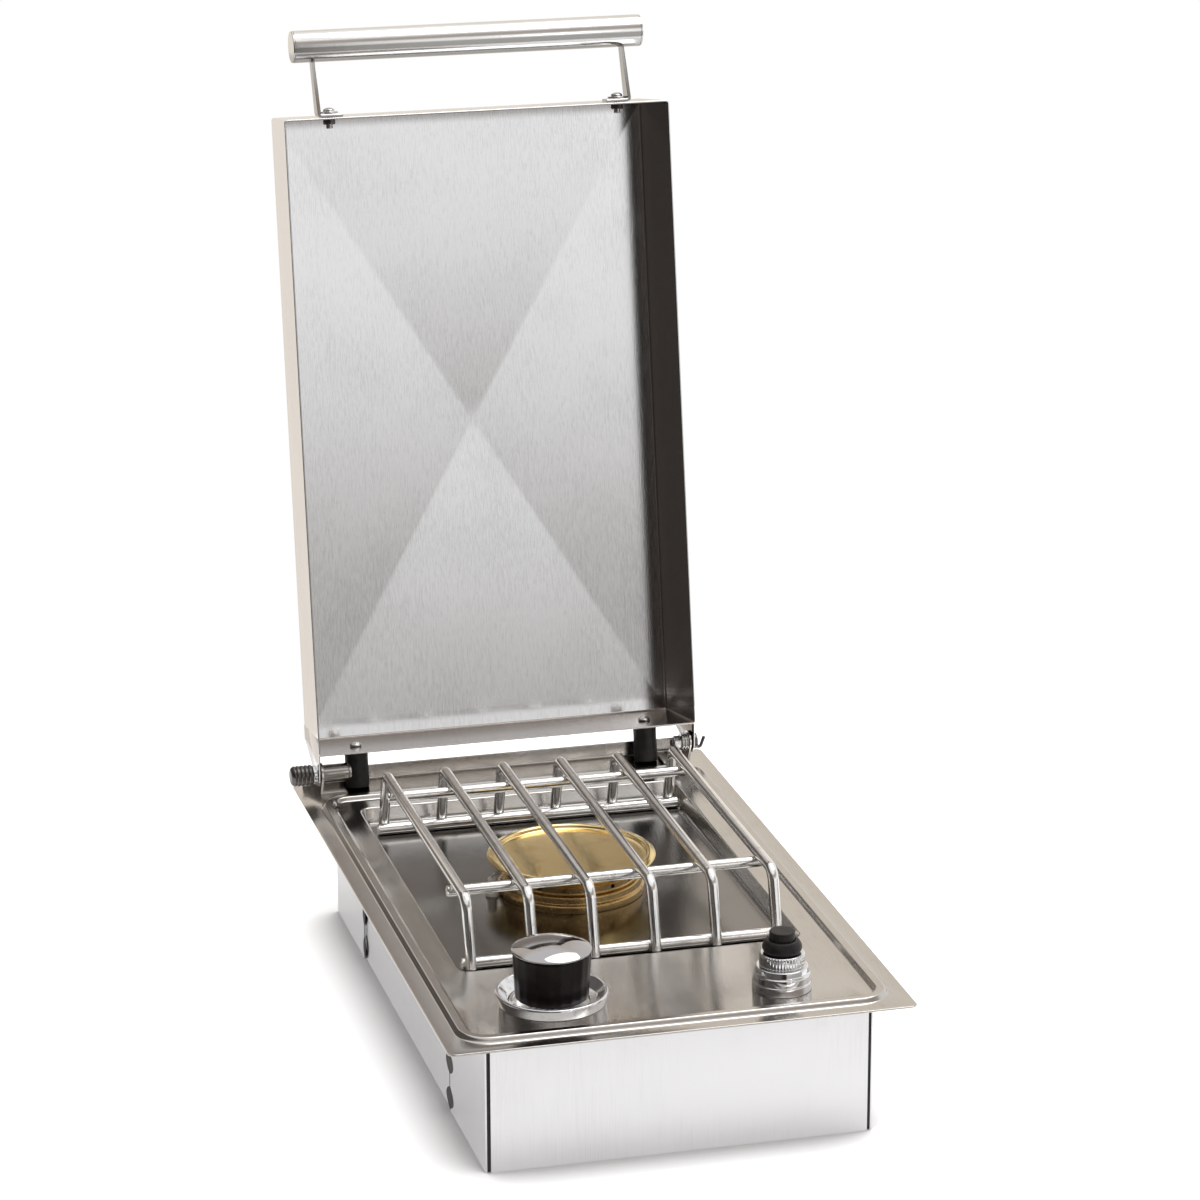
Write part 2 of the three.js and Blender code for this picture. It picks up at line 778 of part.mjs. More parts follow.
// the tube handle on two straps bolted to the front rim
function handle() {
  const half = handleHalf - handleCapFace;
  const bore = handleRadius - handleWall;
  const seat = lidTop + runningGap;
  const shoulder = handleZ - handleRadius - strapShoulderGap;
  const tip = handleZ - Math.sqrt(bore ** 2 - (strapTipWidth / 2) ** 2) + strapTipEntry;
  const slots = [-1, 1].map((sign) => block(
    sign * strapX - strapThick / 2 - runningGap, sign * strapX + strapThick / 2 + runningGap,
    handleY - strapTipWidth / 2 - runningGap, handleY + strapTipWidth / 2 + runningGap,
    shoulder, handleZ,
  ));
  const tube = turnedX(sleeve(bore, handleRadius, -half, half), handleY, handleZ, roundSides);
  piece(lid, 'handle_tube', cut(tube, ...slots), 'polished');

  mirrored((side, sign) => {
    const faceEnd = sign * (half + handleCapFace);
    const plugRim = bore - runningGap;
    piece(lid, `handle_cap_${side}`, turnedX([
      [0, sign * (half - handleCapPlug)], [plugRim, sign * (half - handleCapPlug)],
      [plugRim, sign * (half + runningGap)], [handleRadius, sign * (half + runningGap)],
      [handleRadius, faceEnd], [0, faceEnd],
    ], handleY, handleZ, roundSides), 'polished');

    const leg = prismX(polygon([
      [footY - strapWidth / 2, seat], [footY + strapWidth / 2, seat],
      [handleY + strapWidth / 2, shoulder], [handleY + strapTipWidth / 2, shoulder],
      [handleY + strapTipWidth / 2, tip], [handleY - strapTipWidth / 2, tip],
      [handleY - strapTipWidth / 2, shoulder], [handleY - strapWidth / 2, shoulder],
    ]), sign * strapX - strapThick / 2, sign * strapX + strapThick / 2);
    const outerEdge = strapX + strapThick / 2;
    const [x0, x1] = between(sign * outerEdge, sign * (outerEdge - strapFootLength));
    const foot = block(
      x0, x1, footY - strapWidth / 2, footY + strapWidth / 2, seat, seat + strapThick,
    );
    const boltHole = turned(
      drum(boltRadius + pinGap, seat - overrun, seat + overrun), sign * boltX, footY, tinySides,
    );
    piece(lid, `handle_strap_${side}`, cut(join(leg, foot), boltHole), 'polished');

    const washer = seat + strapThick + runningGap;
    const head = washer + boltWasherThick;
    const tail = lidTop - boltTail;
    piece(lid, `handle_bolt_${side}`, turned([
      [0, tail], [boltRadius, tail], [boltRadius, washer], [boltWasherRadius, washer],
      [boltWasherRadius, head], [boltHeadRadius, head], [boltHeadRadius, head + boltHeadHeight / 2],
      [boltHeadRadius / 2, head + boltHeadHeight], [0, head + boltHeadHeight],
    ], sign * boltX, footY, tinySides), 'zincSteel');
    const nutTop = lidTop - lidSheet - runningGap;
    const nutBore = drum(boltRadius + pinGap, nutTop - nutThick - overrun, nutTop + overrun);
    piece(lid, `handle_nut_${side}`, cut(
      turned(drum(nutRadius, nutTop - nutThick, nutTop), sign * boltX, footY, 6),
      turned(nutBore, sign * boltX, footY, tinySides),
    ), 'darkSteel');
  });
}

// hinge brackets on the plate and the pins that carry the lid
function hinge() {
  const earInner = sideX(earRadius) - lidSheet;
  const earOuter = sideX(-earRadius);
  const bracketOuter = earInner - bracketGap / 4;
  const bracketInner = bracketOuter - bracketSheet;
  const footFront = pivotY - bracketFootReach;
  const footTop = plateTop + bracketSheet;
  mirrored((side, sign) => {
    const outline = [
      [footFront, plateTop], [footFront + bracketFootLength, plateTop],
      [footFront + bracketFootLength, footTop],
    ];
    for (let k = 0; k <= earSteps; k += 1) {
      const angle = (Math.PI * k) / earSteps;
      outline.push([pivotY + earRadius * Math.cos(angle), pivotZ + earRadius * Math.sin(angle)]);
    }
    outline.push([footFront, footTop]);
    const [x0, x1] = between(sign * bracketInner, sign * bracketOuter);
    const [f0, f1] = between(sign * (bracketOuter - bracketFootWidth), sign * bracketOuter);
    const foot = block(f0, f1, footFront, footFront + bracketFootLength, plateTop, footTop);
    const hole = turnedX(drum(pinRadius + pinGap, -plateHalf, plateHalf), pivotY, pivotZ);
    const web = prismX(polygon(outline), x0, x1);
    piece(burner, `hinge_bracket_${side}`, cut(join(web, foot), hole), 'satinSteel');
  });

  const washerIn = earOuter + washerGap;
  const capIn = washerIn + washerThick;
  const capOut = capIn + capLength;
  const spacerIn = bracketInner - spacerLength;
  const bore = pinRadius + pinGap;
  piece(burner, 'hinge_pin_left', turnedX([
    [0, -capOut + capBevel], [pinRadius, -capOut + capBevel], [pinRadius, -spacerIn + runningGap],
    [pinHeadRadius, -spacerIn + runningGap],
    [pinHeadRadius, -spacerIn + runningGap + pinEndLength],
    [0, -spacerIn + runningGap + pinEndLength],
  ], pivotY, pivotZ), 'zincSteel');
  const knurl = fluted([
    [bore, capIn], [capRadius, capIn], [capRadius, capOut - capBevel], [capRadius - capBevel, capOut],
    [0, capOut], [0, capOut - capBevel + runningGap], [bore, capOut - capBevel + runningGap],
    [bore, capIn],
  ], 0, 0, capFlutes, capFluteDepth, capRadius - capBevel / 2);
  const knurlPlaced = knurl.rotateY(-Math.PI / 2).translate(0, pivotY, pivotZ);
  piece(burner, 'hinge_cap_left', solid(knurlPlaced), 'darkSteel');
  piece(burner, 'hinge_washer_left', turnedX(
    sleeve(bore, washerRadius, -capIn, -washerIn), pivotY, pivotZ,
  ), 'chrome');
  piece(burner, 'hinge_spacer_left', turnedX(
    sleeve(bore, spacerRadius, -bracketInner, -spacerIn), pivotY, pivotZ,
  ), 'darkSteel');

  const stackIn = bracketInner - washerStackThick;
  const nutIn = stackIn - hingeNutThick;
  const groove = washerStackThick / (2 * washerGrooves + 1);
  const stackProfile = [[bore, stackIn]];
  for (let k = 0; k <= washerGrooves; k += 1) {
    const start = stackIn + 2 * k * groove;
    stackProfile.push([washerRadius, start], [washerRadius, start + groove]);
    if (k === washerGrooves) continue;
    stackProfile.push([washerRadius - washerGrooveDepth, start + groove]);
    stackProfile.push([washerRadius - washerGrooveDepth, start + 2 * groove]);
  }
  stackProfile.push([bore, bracketInner], [bore, stackIn]);
  piece(burner, 'hinge_washers_right', turnedX(stackProfile, pivotY, pivotZ), 'zincSteel');
  piece(burner, 'hinge_nut_right', cut(
    turnedX(drum(hingeNutRadius, nutIn, stackIn), pivotY, pivotZ, 6),
    turnedX(drum(bore, nutIn - overrun, stackIn + overrun), pivotY, pivotZ),
  ), 'chrome');
  const pinTail = nutIn - pinEndLength;
  const pinHead = washerIn + pinHeadThick;
  const pin = turnedX([
    [0, pinTail], [pinRadius, pinTail], [pinRadius, washerIn], [pinHeadRadius, washerIn],
    [pinHeadRadius, pinHead], [0, pinHead],
  ], pivotY, pivotZ);
  const hook = bentTube([
    [pinHead - hookRoot, pivotY, pivotZ], [pinHead + hookLow, pivotY, pivotZ - hookDrop],
    [pinHead + hookReach, pivotY, pivotZ + hookTip],
  ], hookWire, hookBend, rodSides);
  piece(burner, 'hinge_pin_right', join(pin, hook), 'darkSteel');
}

// the rod grate in the well: a frame of outer rods and crossbars, with the inner rods on its bars
function grate() {
  const frontFoot = wellOutline.front + grateSetback;
  const rearFoot = wellOutline.rear - grateRearSetback;
  const frontTop = frontFoot + legSplay;
  const rearTop = rearFoot - legSplay;
  const topZ = wellFloor + grateHeight;
  const footZ = wellFloor + legClear;
  const outerX = (rodPitch * (rodCount - 1)) / 2;
  const barEnd = outerX + barOverhang;
  const weld = 2 * rodRadius - weldSink;
  const rod = (k, radius) => {
    const x = grateShiftX + k * rodPitch - outerX;
    const route = [[x, frontFoot, footZ], [x, frontTop, topZ], [x, rearTop, topZ], [x, rearFoot, footZ]];
    return bentTube(route, radius, rodBend, rodSides);
  };
  const lowBarZ = wellFloor + footGap + rodRadius;
  const places = [
    [frontTop + highBarFrontInset, topZ - weld],
    [rearTop - highBarRearInset, topZ - weld],
    [frontFoot + weld, lowBarZ],
    [rearFoot - weld, lowBarZ],
  ];
  const bars = places.map(([y, z]) => turnedX(
    drum(rodRadius, grateShiftX - barEnd, grateShiftX + barEnd), y, z, rodSides,
  ));
  const saddles = [];
  for (let k = 1; k < rodCount - 1; k += 1) {
    piece(burner, `grate_rod_${k}`, rod(k, rodRadius), 'polished');
    saddles.push(rod(k, rodRadius + pinGap));
  }
  const frame = join(rod(0, rodRadius), rod(rodCount - 1, rodRadius), ...bars);
  piece(burner, 'grate_frame', cut(frame, ...saddles), 'polished');
}

// the brass burner: a head with ports, and a dished cap that rests on its crown
function burnerPieces() {
  const base = wellFloor;
  const bore = mixRadius + pinGap;
  const crownTop = base + crownHeight;
  const inner = crownRadius - crownWall;
  const head = turned([
    [bore, base], [burnerRadius, base], [burnerRadius, base + burnerStepHeight],
    [burnerTierRadius, base + burnerStepHeight + burnerBevel],
    [burnerTierRadius, base + burnerTierHeight - burnerBevel],
    [crownRadius, base + burnerTierHeight], [crownRadius, crownTop], [inner, crownTop],
    [inner, base + burnerFloor], [bore, base + burnerFloor], [bore, base],
  ], burnerX, burnerY, fineSides);
  const ports = [];
  for (let k = 0; k < portCount; k += 1) {
    const slot = new THREE.BoxGeometry(2 * overrun + crownWall, portWidth, portHeight);
    slot.translate(crownRadius - crownWall / 2, 0, base + portRise + portHeight / 2);
    slot.rotateZ((2 * Math.PI * k) / portCount).translate(burnerX, burnerY, 0);
    ports.push(solid(slot));
  }
  piece(burner, 'burner_head', cut(head, ...ports), 'brass');

  const lipOuter = inner - runningGap;
  const capSheet = cupCapSheet;
  piece(burner, 'burner_cap', turned([
    [0, crownTop], [lipOuter - capSheet, crownTop], [lipOuter - capSheet, crownTop - cupCapLip],
    [lipOuter, crownTop - cupCapLip], [lipOuter, crownTop], [cupCapSeatRadius, crownTop],
    [cupCapRadius, crownTop + cupCapHeight - cupCapRim], [cupCapRadius, crownTop + cupCapHeight],
    [cupCapRadius - cupCapRim, crownTop + cupCapHeight],
    [cupCapSeatRadius, crownTop + capSheet + cupCapRim / 2],
    [cupCapSeatRadius - capSheet, crownTop + capSheet], [0, crownTop + capSheet],
  ], burnerX, burnerY, fineSides), 'brass');
}

// the mixing tube under the burner, with its air shutter and its bracket
function mixingTube() {
  const tubeTop = wellFloor + burnerFloor - pinGap;
  const tube = bentTube(
    [[burnerX, mixMouthY, mixAxisZ], [burnerX, burnerY, mixAxisZ], [burnerX, burnerY, tubeTop]],
    mixRadius, mixBend, smallSides, mixRadius - mixWall,
  );
  const windowStart = mixMouthY + (shutterLength - windowLength) / 2;
  const windows = block(
    burnerX - mixRadius - overrun, burnerX + mixRadius + overrun, windowStart,
    windowStart + windowLength, mixAxisZ - windowWidth / 2, mixAxisZ + windowWidth / 2,
  );
  piece(burner, 'mixing_tube', cut(tube, windows), 'zincSteel');

  const inner = mixRadius + runningGap;
  const outer = inner + shutterWall;
  const front = mixMouthY - runningGap - shutterWall;
  const shutter = turnedY([
    [shutterHole, front], [outer, front], [outer, front + shutterLength], [inner, front + shutterLength],
    [inner, front + shutterWall], [shutterHole, front + shutterWall], [shutterHole, front],
  ], burnerX, mixAxisZ);
  piece(burner, 'air_shutter', cut(shutter, windows), 'zincSteel');

  const shoulder = mixAxisZ + mixBracketShoulder;
  const bracketY = mixMouthY + mixBracketReach;
  const half = mixBracketWidth / 2;
  const web = block(
    burnerX - half, burnerX + half, bracketY, bracketY + mixBracketSheet, boxSheet, shoulder,
  );
  const foot = block(
    burnerX - half, burnerX + half, bracketY, bracketY + mixBracketFoot, boxSheet,
    boxSheet + mixBracketSheet,
  );
  const hole = turnedY(
    drum(mixRadius + pinGap, bracketY - overrun, bracketY + mixBracketFoot), burnerX, mixAxisZ,
  );
  piece(burner, 'mixing_tube_bracket', cut(join(web, foot), hole), 'zincSteel');
}

// knob, bezel, stem and the gas valve on its bracket
function knobAndValve() {
  const foot = plateTop + knobRise;
  const seat = foot + knobHeight;
  const stemTop = foot + stemEntry;
  const bore = stemRadius + pinGap / 2;
  piece(burner, 'knob_body', solid(fluted([
    [0, stemTop + runningGap], [bore, stemTop + runningGap], [bore, foot], [knobHubRadius, foot],
    [knobHubRadius, foot + knobBowl], [knobBowlRadius, foot + knobBowl], [knobBowlRadius, foot],
    [knobFootRadius, foot], [knobTopRadius, seat], [0, seat],
  ], knobX, knobY, knobFlutes, knobFluteDepth, knobFootRadius - knobFluteDepth)), 'blackGloss');
  const capWide = knobTopRadius + knobCapEdge;
  const domeEnd = Math.asin(capWide / knobCapDome);
  const domeBase = seat + knobCapEdge + knobCapBand - knobCapDome * Math.cos(domeEnd);
  const capProfile = [[0, seat], [knobTopRadius, seat], [capWide, seat + knobCapEdge]];
  for (let k = 0; k <= domeSteps; k += 1) {
    const lean = domeEnd * (1 - k / domeSteps);
    capProfile.push([knobCapDome * Math.sin(lean), domeBase + knobCapDome * Math.cos(lean)]);
  }
  piece(burner, 'knob_cap', turned(capProfile, knobX, knobY, fineSides), 'chrome');
  piece(burner, 'knob_bezel', turned([
    [bezelHole, plateTop], [bezelFootRadius, plateTop], [bezelRimRadius, plateTop + bezelHeight - bezelRim],
    [bezelRimRadius - bezelRim / 2, plateTop + bezelHeight],
    [bezelRimRadius - bezelRim, plateTop + bezelHeight],
    [bezelDishRadius, plateTop + bezelFloor], [bezelHole, plateTop + bezelFloor], [bezelHole, plateTop],
  ], knobX, knobY, fineSides), 'chrome');

  const plugTop = valveTop - valveBaseLength;
  const plugLow = plugTop - plugLength;
  const stemLow = plugTop - plugSlotDepth + knobPush + runningGap;
  const stem = turned(drum(stemRadius, stemLow, stemTop), knobX, knobY, smallSides);
  piece(burner, 'valve_stem', stem, 'zincSteel');
  piece(burner, 'valve_plug', turned([
    [0, plugLow], [plugRadius, plugLow], [plugRadius, plugTop], [stemRadius + pinGap, plugTop],
    [stemRadius + pinGap, plugTop - plugSlotDepth], [0, plugTop - plugSlotDepth],
  ], knobX, knobY, smallSides), 'brass');

  const low = valveTop - valveLength;
  const plugBore = plugRadius + pinGap;
  const stemBore = stemRadius + pinGap;
  const body = turned([
    [0, low - valveBaseLength], [valveBaseRadius, low - valveBaseLength], [valveBaseRadius, low],
    [valveRadius, low], [valveRadius, valveTop], [stemBore, valveTop], [stemBore, plugTop + pinGap],
    [plugBore, plugTop + pinGap], [plugBore, plugLow - pinGap], [0, plugLow - pinGap],
  ], knobX, knobY, smallSides);
  const bossX = valveRadius + portLength;
  const boss = turnedX(drum(portRadius, knobX - bossX, knobX + bossX), knobY, valvePortZ);
  const room = turned(drum(plugBore, plugLow - pinGap, plugTop + pinGap), knobX, knobY, smallSides);
  piece(burner, 'valve_body', cut(join(body, boss), room), 'brass');

  const halfSpan = valveBracketLength / 2;
  const halfWidth = valveBracketWidth / 2;
  const web = valveTop + valveBracketSheet;
  const strap = prismY(polygon([
    [knobX - halfSpan, boxHeight], [knobX - halfSpan, boxHeight - valveBracketSheet],
    [knobX - halfSpan + valveBracketFoot, boxHeight - valveBracketSheet],
    [knobX - halfSpan + valveBracketFoot, valveTop], [knobX + halfSpan - valveBracketFoot, valveTop],
    [knobX + halfSpan - valveBracketFoot, boxHeight - valveBracketSheet],
    [knobX + halfSpan, boxHeight - valveBracketSheet], [knobX + halfSpan, boxHeight],
    [knobX + halfSpan - valveBracketFoot - valveBracketSheet, boxHeight],
    [knobX + halfSpan - valveBracketFoot - valveBracketSheet, web],
    [knobX - halfSpan + valveBracketFoot + valveBracketSheet, web],
    [knobX - halfSpan + valveBracketFoot + valveBracketSheet, boxHeight],
  ]), knobY - halfWidth, knobY + halfWidth);
  const stemHole = turned(drum(stemBore, valveTop - overrun, boxHeight), knobX, knobY, smallSides);
  piece(burner, 'valve_bracket', cut(strap, stemHole), 'zincSteel');
}

// the push-button igniter, its piezo body, lead and electrode
function igniter() {
  const baseTop = plateTop + igniterBaseHeight;
  const ringTop = baseTop + ringHeight;
  const collarTop = ringTop + collarHeight;
  const neck = piezoRadius - pinGap;
  const neckTop = ringTop - pinGap;
  const buttonTop = collarTop + buttonRise;
  const headLow = ringTop + buttonPush + runningGap;
  const stemLow = headLow - buttonPush - ringHeight;
  piece(burner, 'igniter_base', turned([
    [piezoRadius, plateTop], [igniterBaseRadius, plateTop], [igniterBaseRadius, plateTop + igniterStepHeight],
    [igniterTierRadius, plateTop + igniterStepHeight + igniterBevel],
    [igniterTierRadius, plateTop + igniterTierHeight],
    [igniterTopRadius + igniterBevel, plateTop + igniterTierHeight + igniterBevel],
    [igniterTopRadius, baseTop], [piezoRadius, baseTop], [piezoRadius, plateTop],
  ], igniterX, igniterY), 'chrome');
  piece(burner, 'igniter_ring', solid(fluted([
    [piezoRadius, baseTop], [ringRadius - ringBevel, baseTop], [ringRadius, baseTop + ringBevel],
    [ringRadius, ringTop - ringBevel], [ringRadius - ringBevel, ringTop], [piezoRadius, ringTop],
    [piezoRadius, baseTop],
  ], igniterX, igniterY, ringFlutes, ringFluteDepth, ringRadius - ringBevel / 2)), 'chrome');
  const collarBore = buttonRadius + runningGap;
  piece(burner, 'igniter_collar', turned([
    [collarBore, ringTop], [collarRadius - collarWaist, ringTop],
    [collarRadius, ringTop + collarHeight / 4], [collarRadius, ringTop + collarHeight / 2],
    [collarRadius - collarWaist, collarTop - collarBevel],
    [collarRadius - collarWaist - collarBevel, collarTop], [collarBore, collarTop], [collarBore, ringTop],
  ], igniterX, igniterY), 'blackRubber');
  piece(burner, 'igniter_button', turned([
    [0, stemLow], [buttonStem, stemLow], [buttonStem, headLow], [buttonRadius, headLow],
    [buttonRadius, buttonTop - buttonBevel], [buttonRadius - buttonBevel, buttonTop], [0, buttonTop],
  ], igniterX, igniterY), 'blackGloss');

  const piezoLow = boxHeight - piezoLength;
  const stemBore = buttonStem + runningGap;
  const stemEnd = stemLow - buttonPush - runningGap;
  piece(burner, 'piezo_body', turned([
    [0, piezoLow - piezoTip], [piezoRadius / 2, piezoLow - piezoTip], [piezoRadius, piezoLow],
    [piezoRadius, boxHeight - piezoFlangeThick], [piezoFlange, boxHeight - piezoFlangeThick],
    [piezoFlange, boxHeight], [neck, boxHeight], [neck, neckTop], [stemBore, neckTop],
    [stemBore, stemEnd], [0, stemEnd],
  ], igniterX, igniterY, smallSides), 'blackRubber');

  const ceramicLow = wellFloor - plateSheet - ceramicBelow;
  const ceramicTop = wellFloor + ceramicAbove;
  piece(burner, 'electrode_ceramic', turned([
    [wireRadius + pinGap / 2, ceramicLow], [ceramicRadius, ceramicLow], [ceramicRadius, wellFloor],
    [ceramicShoulder, wellFloor], [ceramicShoulder, wellFloor + ceramicShoulderHeight],
    [ceramicRadius, wellFloor + ceramicShoulderHeight], [ceramicRadius, ceramicTop],
    [wireRadius + pinGap / 2, ceramicTop], [wireRadius + pinGap / 2, ceramicLow],
  ], electrodeX, burnerY, tinySides), 'ceramic');
  piece(burner, 'electrode_wire', bentTube([
    [electrodeX, burnerY, ceramicLow + runningGap], [electrodeX, burnerY, ceramicTop + wireRise],
    [electrodeX + wireReach, burnerY, ceramicTop + wireRise],
  ], wireRadius, wireRadius + wireRise / 2, rodSides), 'zincSteel');
  const leadEndX = igniterX - leadBend;
  piece(burner, 'ignition_lead', bentTube([
    [igniterX, igniterY, piezoLow - piezoTip], [igniterX, igniterY, leadRise],
    [leadEndX, burnerY - mixBend, leadRise], [electrodeX, burnerY, leadRise],
    [electrodeX, burnerY, ceramicLow],
  ], leadRadius, leadBend, rodSides), 'leadBlack');
}

// the gas line: inlet fitting, pipe to the valve, tube to the orifice
function gasLine() {
  const bossEnd = valveRadius + portLength;
  piece(burner, 'inlet_pipe', bentTube([
    [knobX - bossEnd, knobY, valvePortZ], [inletX, knobY, valvePortZ],
    [inletX, boxRear - boxSheet - inletInnerLength, valvePortZ],
  ], inletTubeRadius, inletBend, tinySides), 'brass');
  const outer = boxRear + inletHexLength;
  const end = outer + inletThreadLength;
  const inner = boxRear - boxSheet - inletInnerLength;
  const hex = turnedY(drum(inletHexRadius, boxRear, outer), inletX, valvePortZ, 6);
  const thread = turnedY(drum(inletThreadRadius, inner, end), inletX, valvePortZ);
  const bore = turnedY(drum(inletBore, outer, end + overrun), inletX, valvePortZ, tinySides);
  piece(burner, 'gas_inlet', cut(join(hex, thread), bore), 'brass');

  const shutterFront = mixMouthY - runningGap - shutterWall;
  const tipEnd = shutterFront + orificeTipLength / 2;
  const bodyEnd = tipEnd - orificeTipLength;
  const bodyStart = bodyEnd - orificeLength;
  piece(burner, 'orifice_fitting', turnedY([
    [0, bodyStart], [orificeRadius, bodyStart], [orificeRadius, bodyEnd], [orificeTip, bodyEnd],
    [orificeTip, tipEnd], [0, tipEnd],
  ], burnerX, mixAxisZ, tinySides), 'brass');
  piece(burner, 'supply_tube', bentTube([
    [knobX + bossEnd, knobY, valvePortZ], [burnerX, knobY, valvePortZ], [burnerX, knobY, mixAxisZ],
    [burnerX, bodyStart, mixAxisZ],
  ], gasTubeRadius, supplyBend, tinySides), 'brass');
}

piece(burner, 'top_plate', topPlate(), 'satinSteel');
box();
piece(lid, 'lid_pan', lidPan(), 'lidSteel');
lidStops();
handle();
hinge();
grate();
burnerPieces();
mixingTube();
knobAndValve();
igniter();
gasLine();

export default burner;
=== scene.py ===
import math
import bpy
import bmesh
from mathutils import Matrix, Vector


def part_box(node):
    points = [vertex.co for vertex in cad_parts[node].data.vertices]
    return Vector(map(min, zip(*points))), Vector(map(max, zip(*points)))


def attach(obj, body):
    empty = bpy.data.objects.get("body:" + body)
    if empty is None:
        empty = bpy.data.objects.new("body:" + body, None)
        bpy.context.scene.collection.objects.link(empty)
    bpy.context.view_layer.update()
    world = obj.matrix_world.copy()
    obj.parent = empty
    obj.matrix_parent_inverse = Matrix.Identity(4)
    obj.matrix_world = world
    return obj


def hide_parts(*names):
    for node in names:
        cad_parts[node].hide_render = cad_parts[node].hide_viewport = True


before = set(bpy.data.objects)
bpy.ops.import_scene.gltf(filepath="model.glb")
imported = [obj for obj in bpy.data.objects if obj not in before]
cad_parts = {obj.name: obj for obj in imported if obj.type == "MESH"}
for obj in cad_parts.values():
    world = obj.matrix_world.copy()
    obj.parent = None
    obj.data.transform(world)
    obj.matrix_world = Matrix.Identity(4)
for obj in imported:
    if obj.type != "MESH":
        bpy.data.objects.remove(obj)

print("side burner: packed frame loaded")
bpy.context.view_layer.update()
mm = 0.001        # every length in the dictionaries below is in millimetres


# a dictionary whose values are also read as look.name
class Look(dict):
    __getattr__ = dict.__getitem__



# camera, as in the photograph
cameraLook = Look(
    place=(-769.0, -2972.0, 1293.0),
    right=(0.9659, -0.2590, -0.0004),
    up=(0.0779, 0.2892, 0.9541),
    lens=134.93,
    shiftAcross=-0.0181,
    shiftUp=-0.0141,
)


def addCamera(look):
    right = Vector(look.right).normalized()
    up = Vector(look.up)
    up = (up - right * up.dot(right)).normalized()
    back = right.cross(up)
    data = bpy.data.cameras.new("photoCamera")
    data.sensor_fit = "HORIZONTAL"
    data.sensor_width = 36
    data.lens = look.lens
    data.shift_x = look.shiftAcross
    data.shift_y = look.shiftUp
    data.clip_start = 0.05
    data.clip_end = 60
    camera = bpy.data.objects.new("photoCamera", data)
    turn = Matrix((right, up, back)).transposed().to_4x4()
    camera.matrix_world = Matrix.Translation(Vector(look.place) * mm) @ turn
    bpy.context.scene.collection.objects.link(camera)
    bpy.context.scene.camera = camera


addCamera(cameraLook)
bpy.context.scene.view_settings.view_transform = "Standard"
print("side burner: camera in place")


# shader sums: a socket that can be added to, multiplied and compared
class Wire:
    def __init__(self, tree, socket):
        self.tree = tree
        self.socket = socket

    def maths(self, operation, *others):
        node = self.tree.nodes.new("ShaderNodeMath")
        node.operation = operation
        for slot, value in zip(node.inputs, (self,) + others):
            feed(self.tree, slot, value)
        return Wire(self.tree, node.outputs[0])

    def __add__(self, other):
        return self.maths("ADD", other)

    def __sub__(self, other):
        return self.maths("SUBTRACT", other)

    def __rsub__(self, other):
        return (self * -1).maths("ADD", other)

    def __mul__(self, other):
        return self.maths("MULTIPLY", other)

    __radd__, __rmul__ = __add__, __mul__        # the order of a sum or product doesn't matter

    def most(self, other):
        return self.maths("MAXIMUM", other)


def feed(tree, slot, value):
    if isinstance(value, Wire):
        tree.links.new(value.socket, slot)
    elif isinstance(value, (tuple, list)) and slot.type == "RGBA" and len(value) == 3:
        slot.default_value = (*value, 1)
    else:
        slot.default_value = value


class Recipe:
    def __init__(self, tree):
        self.tree = tree
        tree.nodes.clear()

    # any node: its type, its settings, then its socket values and links
    def add(self, kind, settings=None, values=None, output=0):
        node = self.tree.nodes.new("ShaderNode" + kind)
        for key, value in (settings or {}).items():
            setattr(node, key, value)
        for key, value in (values or {}).items():
            feed(self.tree, node.inputs[key], value)
        return Wire(self.tree, node.outputs[output]) if node.outputs else None

    def place(self):
        return self.add("TexCoord", output="Object")

    def along(self, place, stretch):
        return self.add("Mapping", {"vector_type": "TEXTURE"}, {"Vector": place, "Scale": stretch})

    def noise(self, vector, size, detail, rough):
        return self.add("TexNoise", {"normalize": True},
                        {"Vector": vector, "Scale": 1 / (size * mm), "Detail": detail, "Roughness": rough})

    def ramp(self, value, low, high, toLow=0.0):
        return self.add("MapRange", {"interpolation_type": "SMOOTHSTEP"},
                        {"Value": value, "From Min": low, "From Max": high, "To Min": toLow, "To Max": 1})

    def mix(self, share, first, second):
        return self.add("Mix", {"data_type": "RGBA"}, {0: share, 6: first, 7: second}, output=2)

    def parts(self, vector):
        node = self.tree.nodes.new("ShaderNodeSeparateXYZ")
        feed(self.tree, node.inputs[0], vector)
        return [Wire(self.tree, slot) for slot in node.outputs]

    def bump(self, height, distance, before=None):
        values = {"Height": height, "Strength": 1.0, "Distance": distance * mm}
        if before is not None:
            values["Normal"] = before
        return self.add("Bump", None, values)

    def finish(self, shader, kind="OutputMaterial"):
        self.add(kind, None, {"Surface": shader})


finishes = {}


def newFinish(name):
    material = bpy.data.materials.new(name)
    material.use_nodes = True
    finishes[name] = material
    return Recipe(material.node_tree)


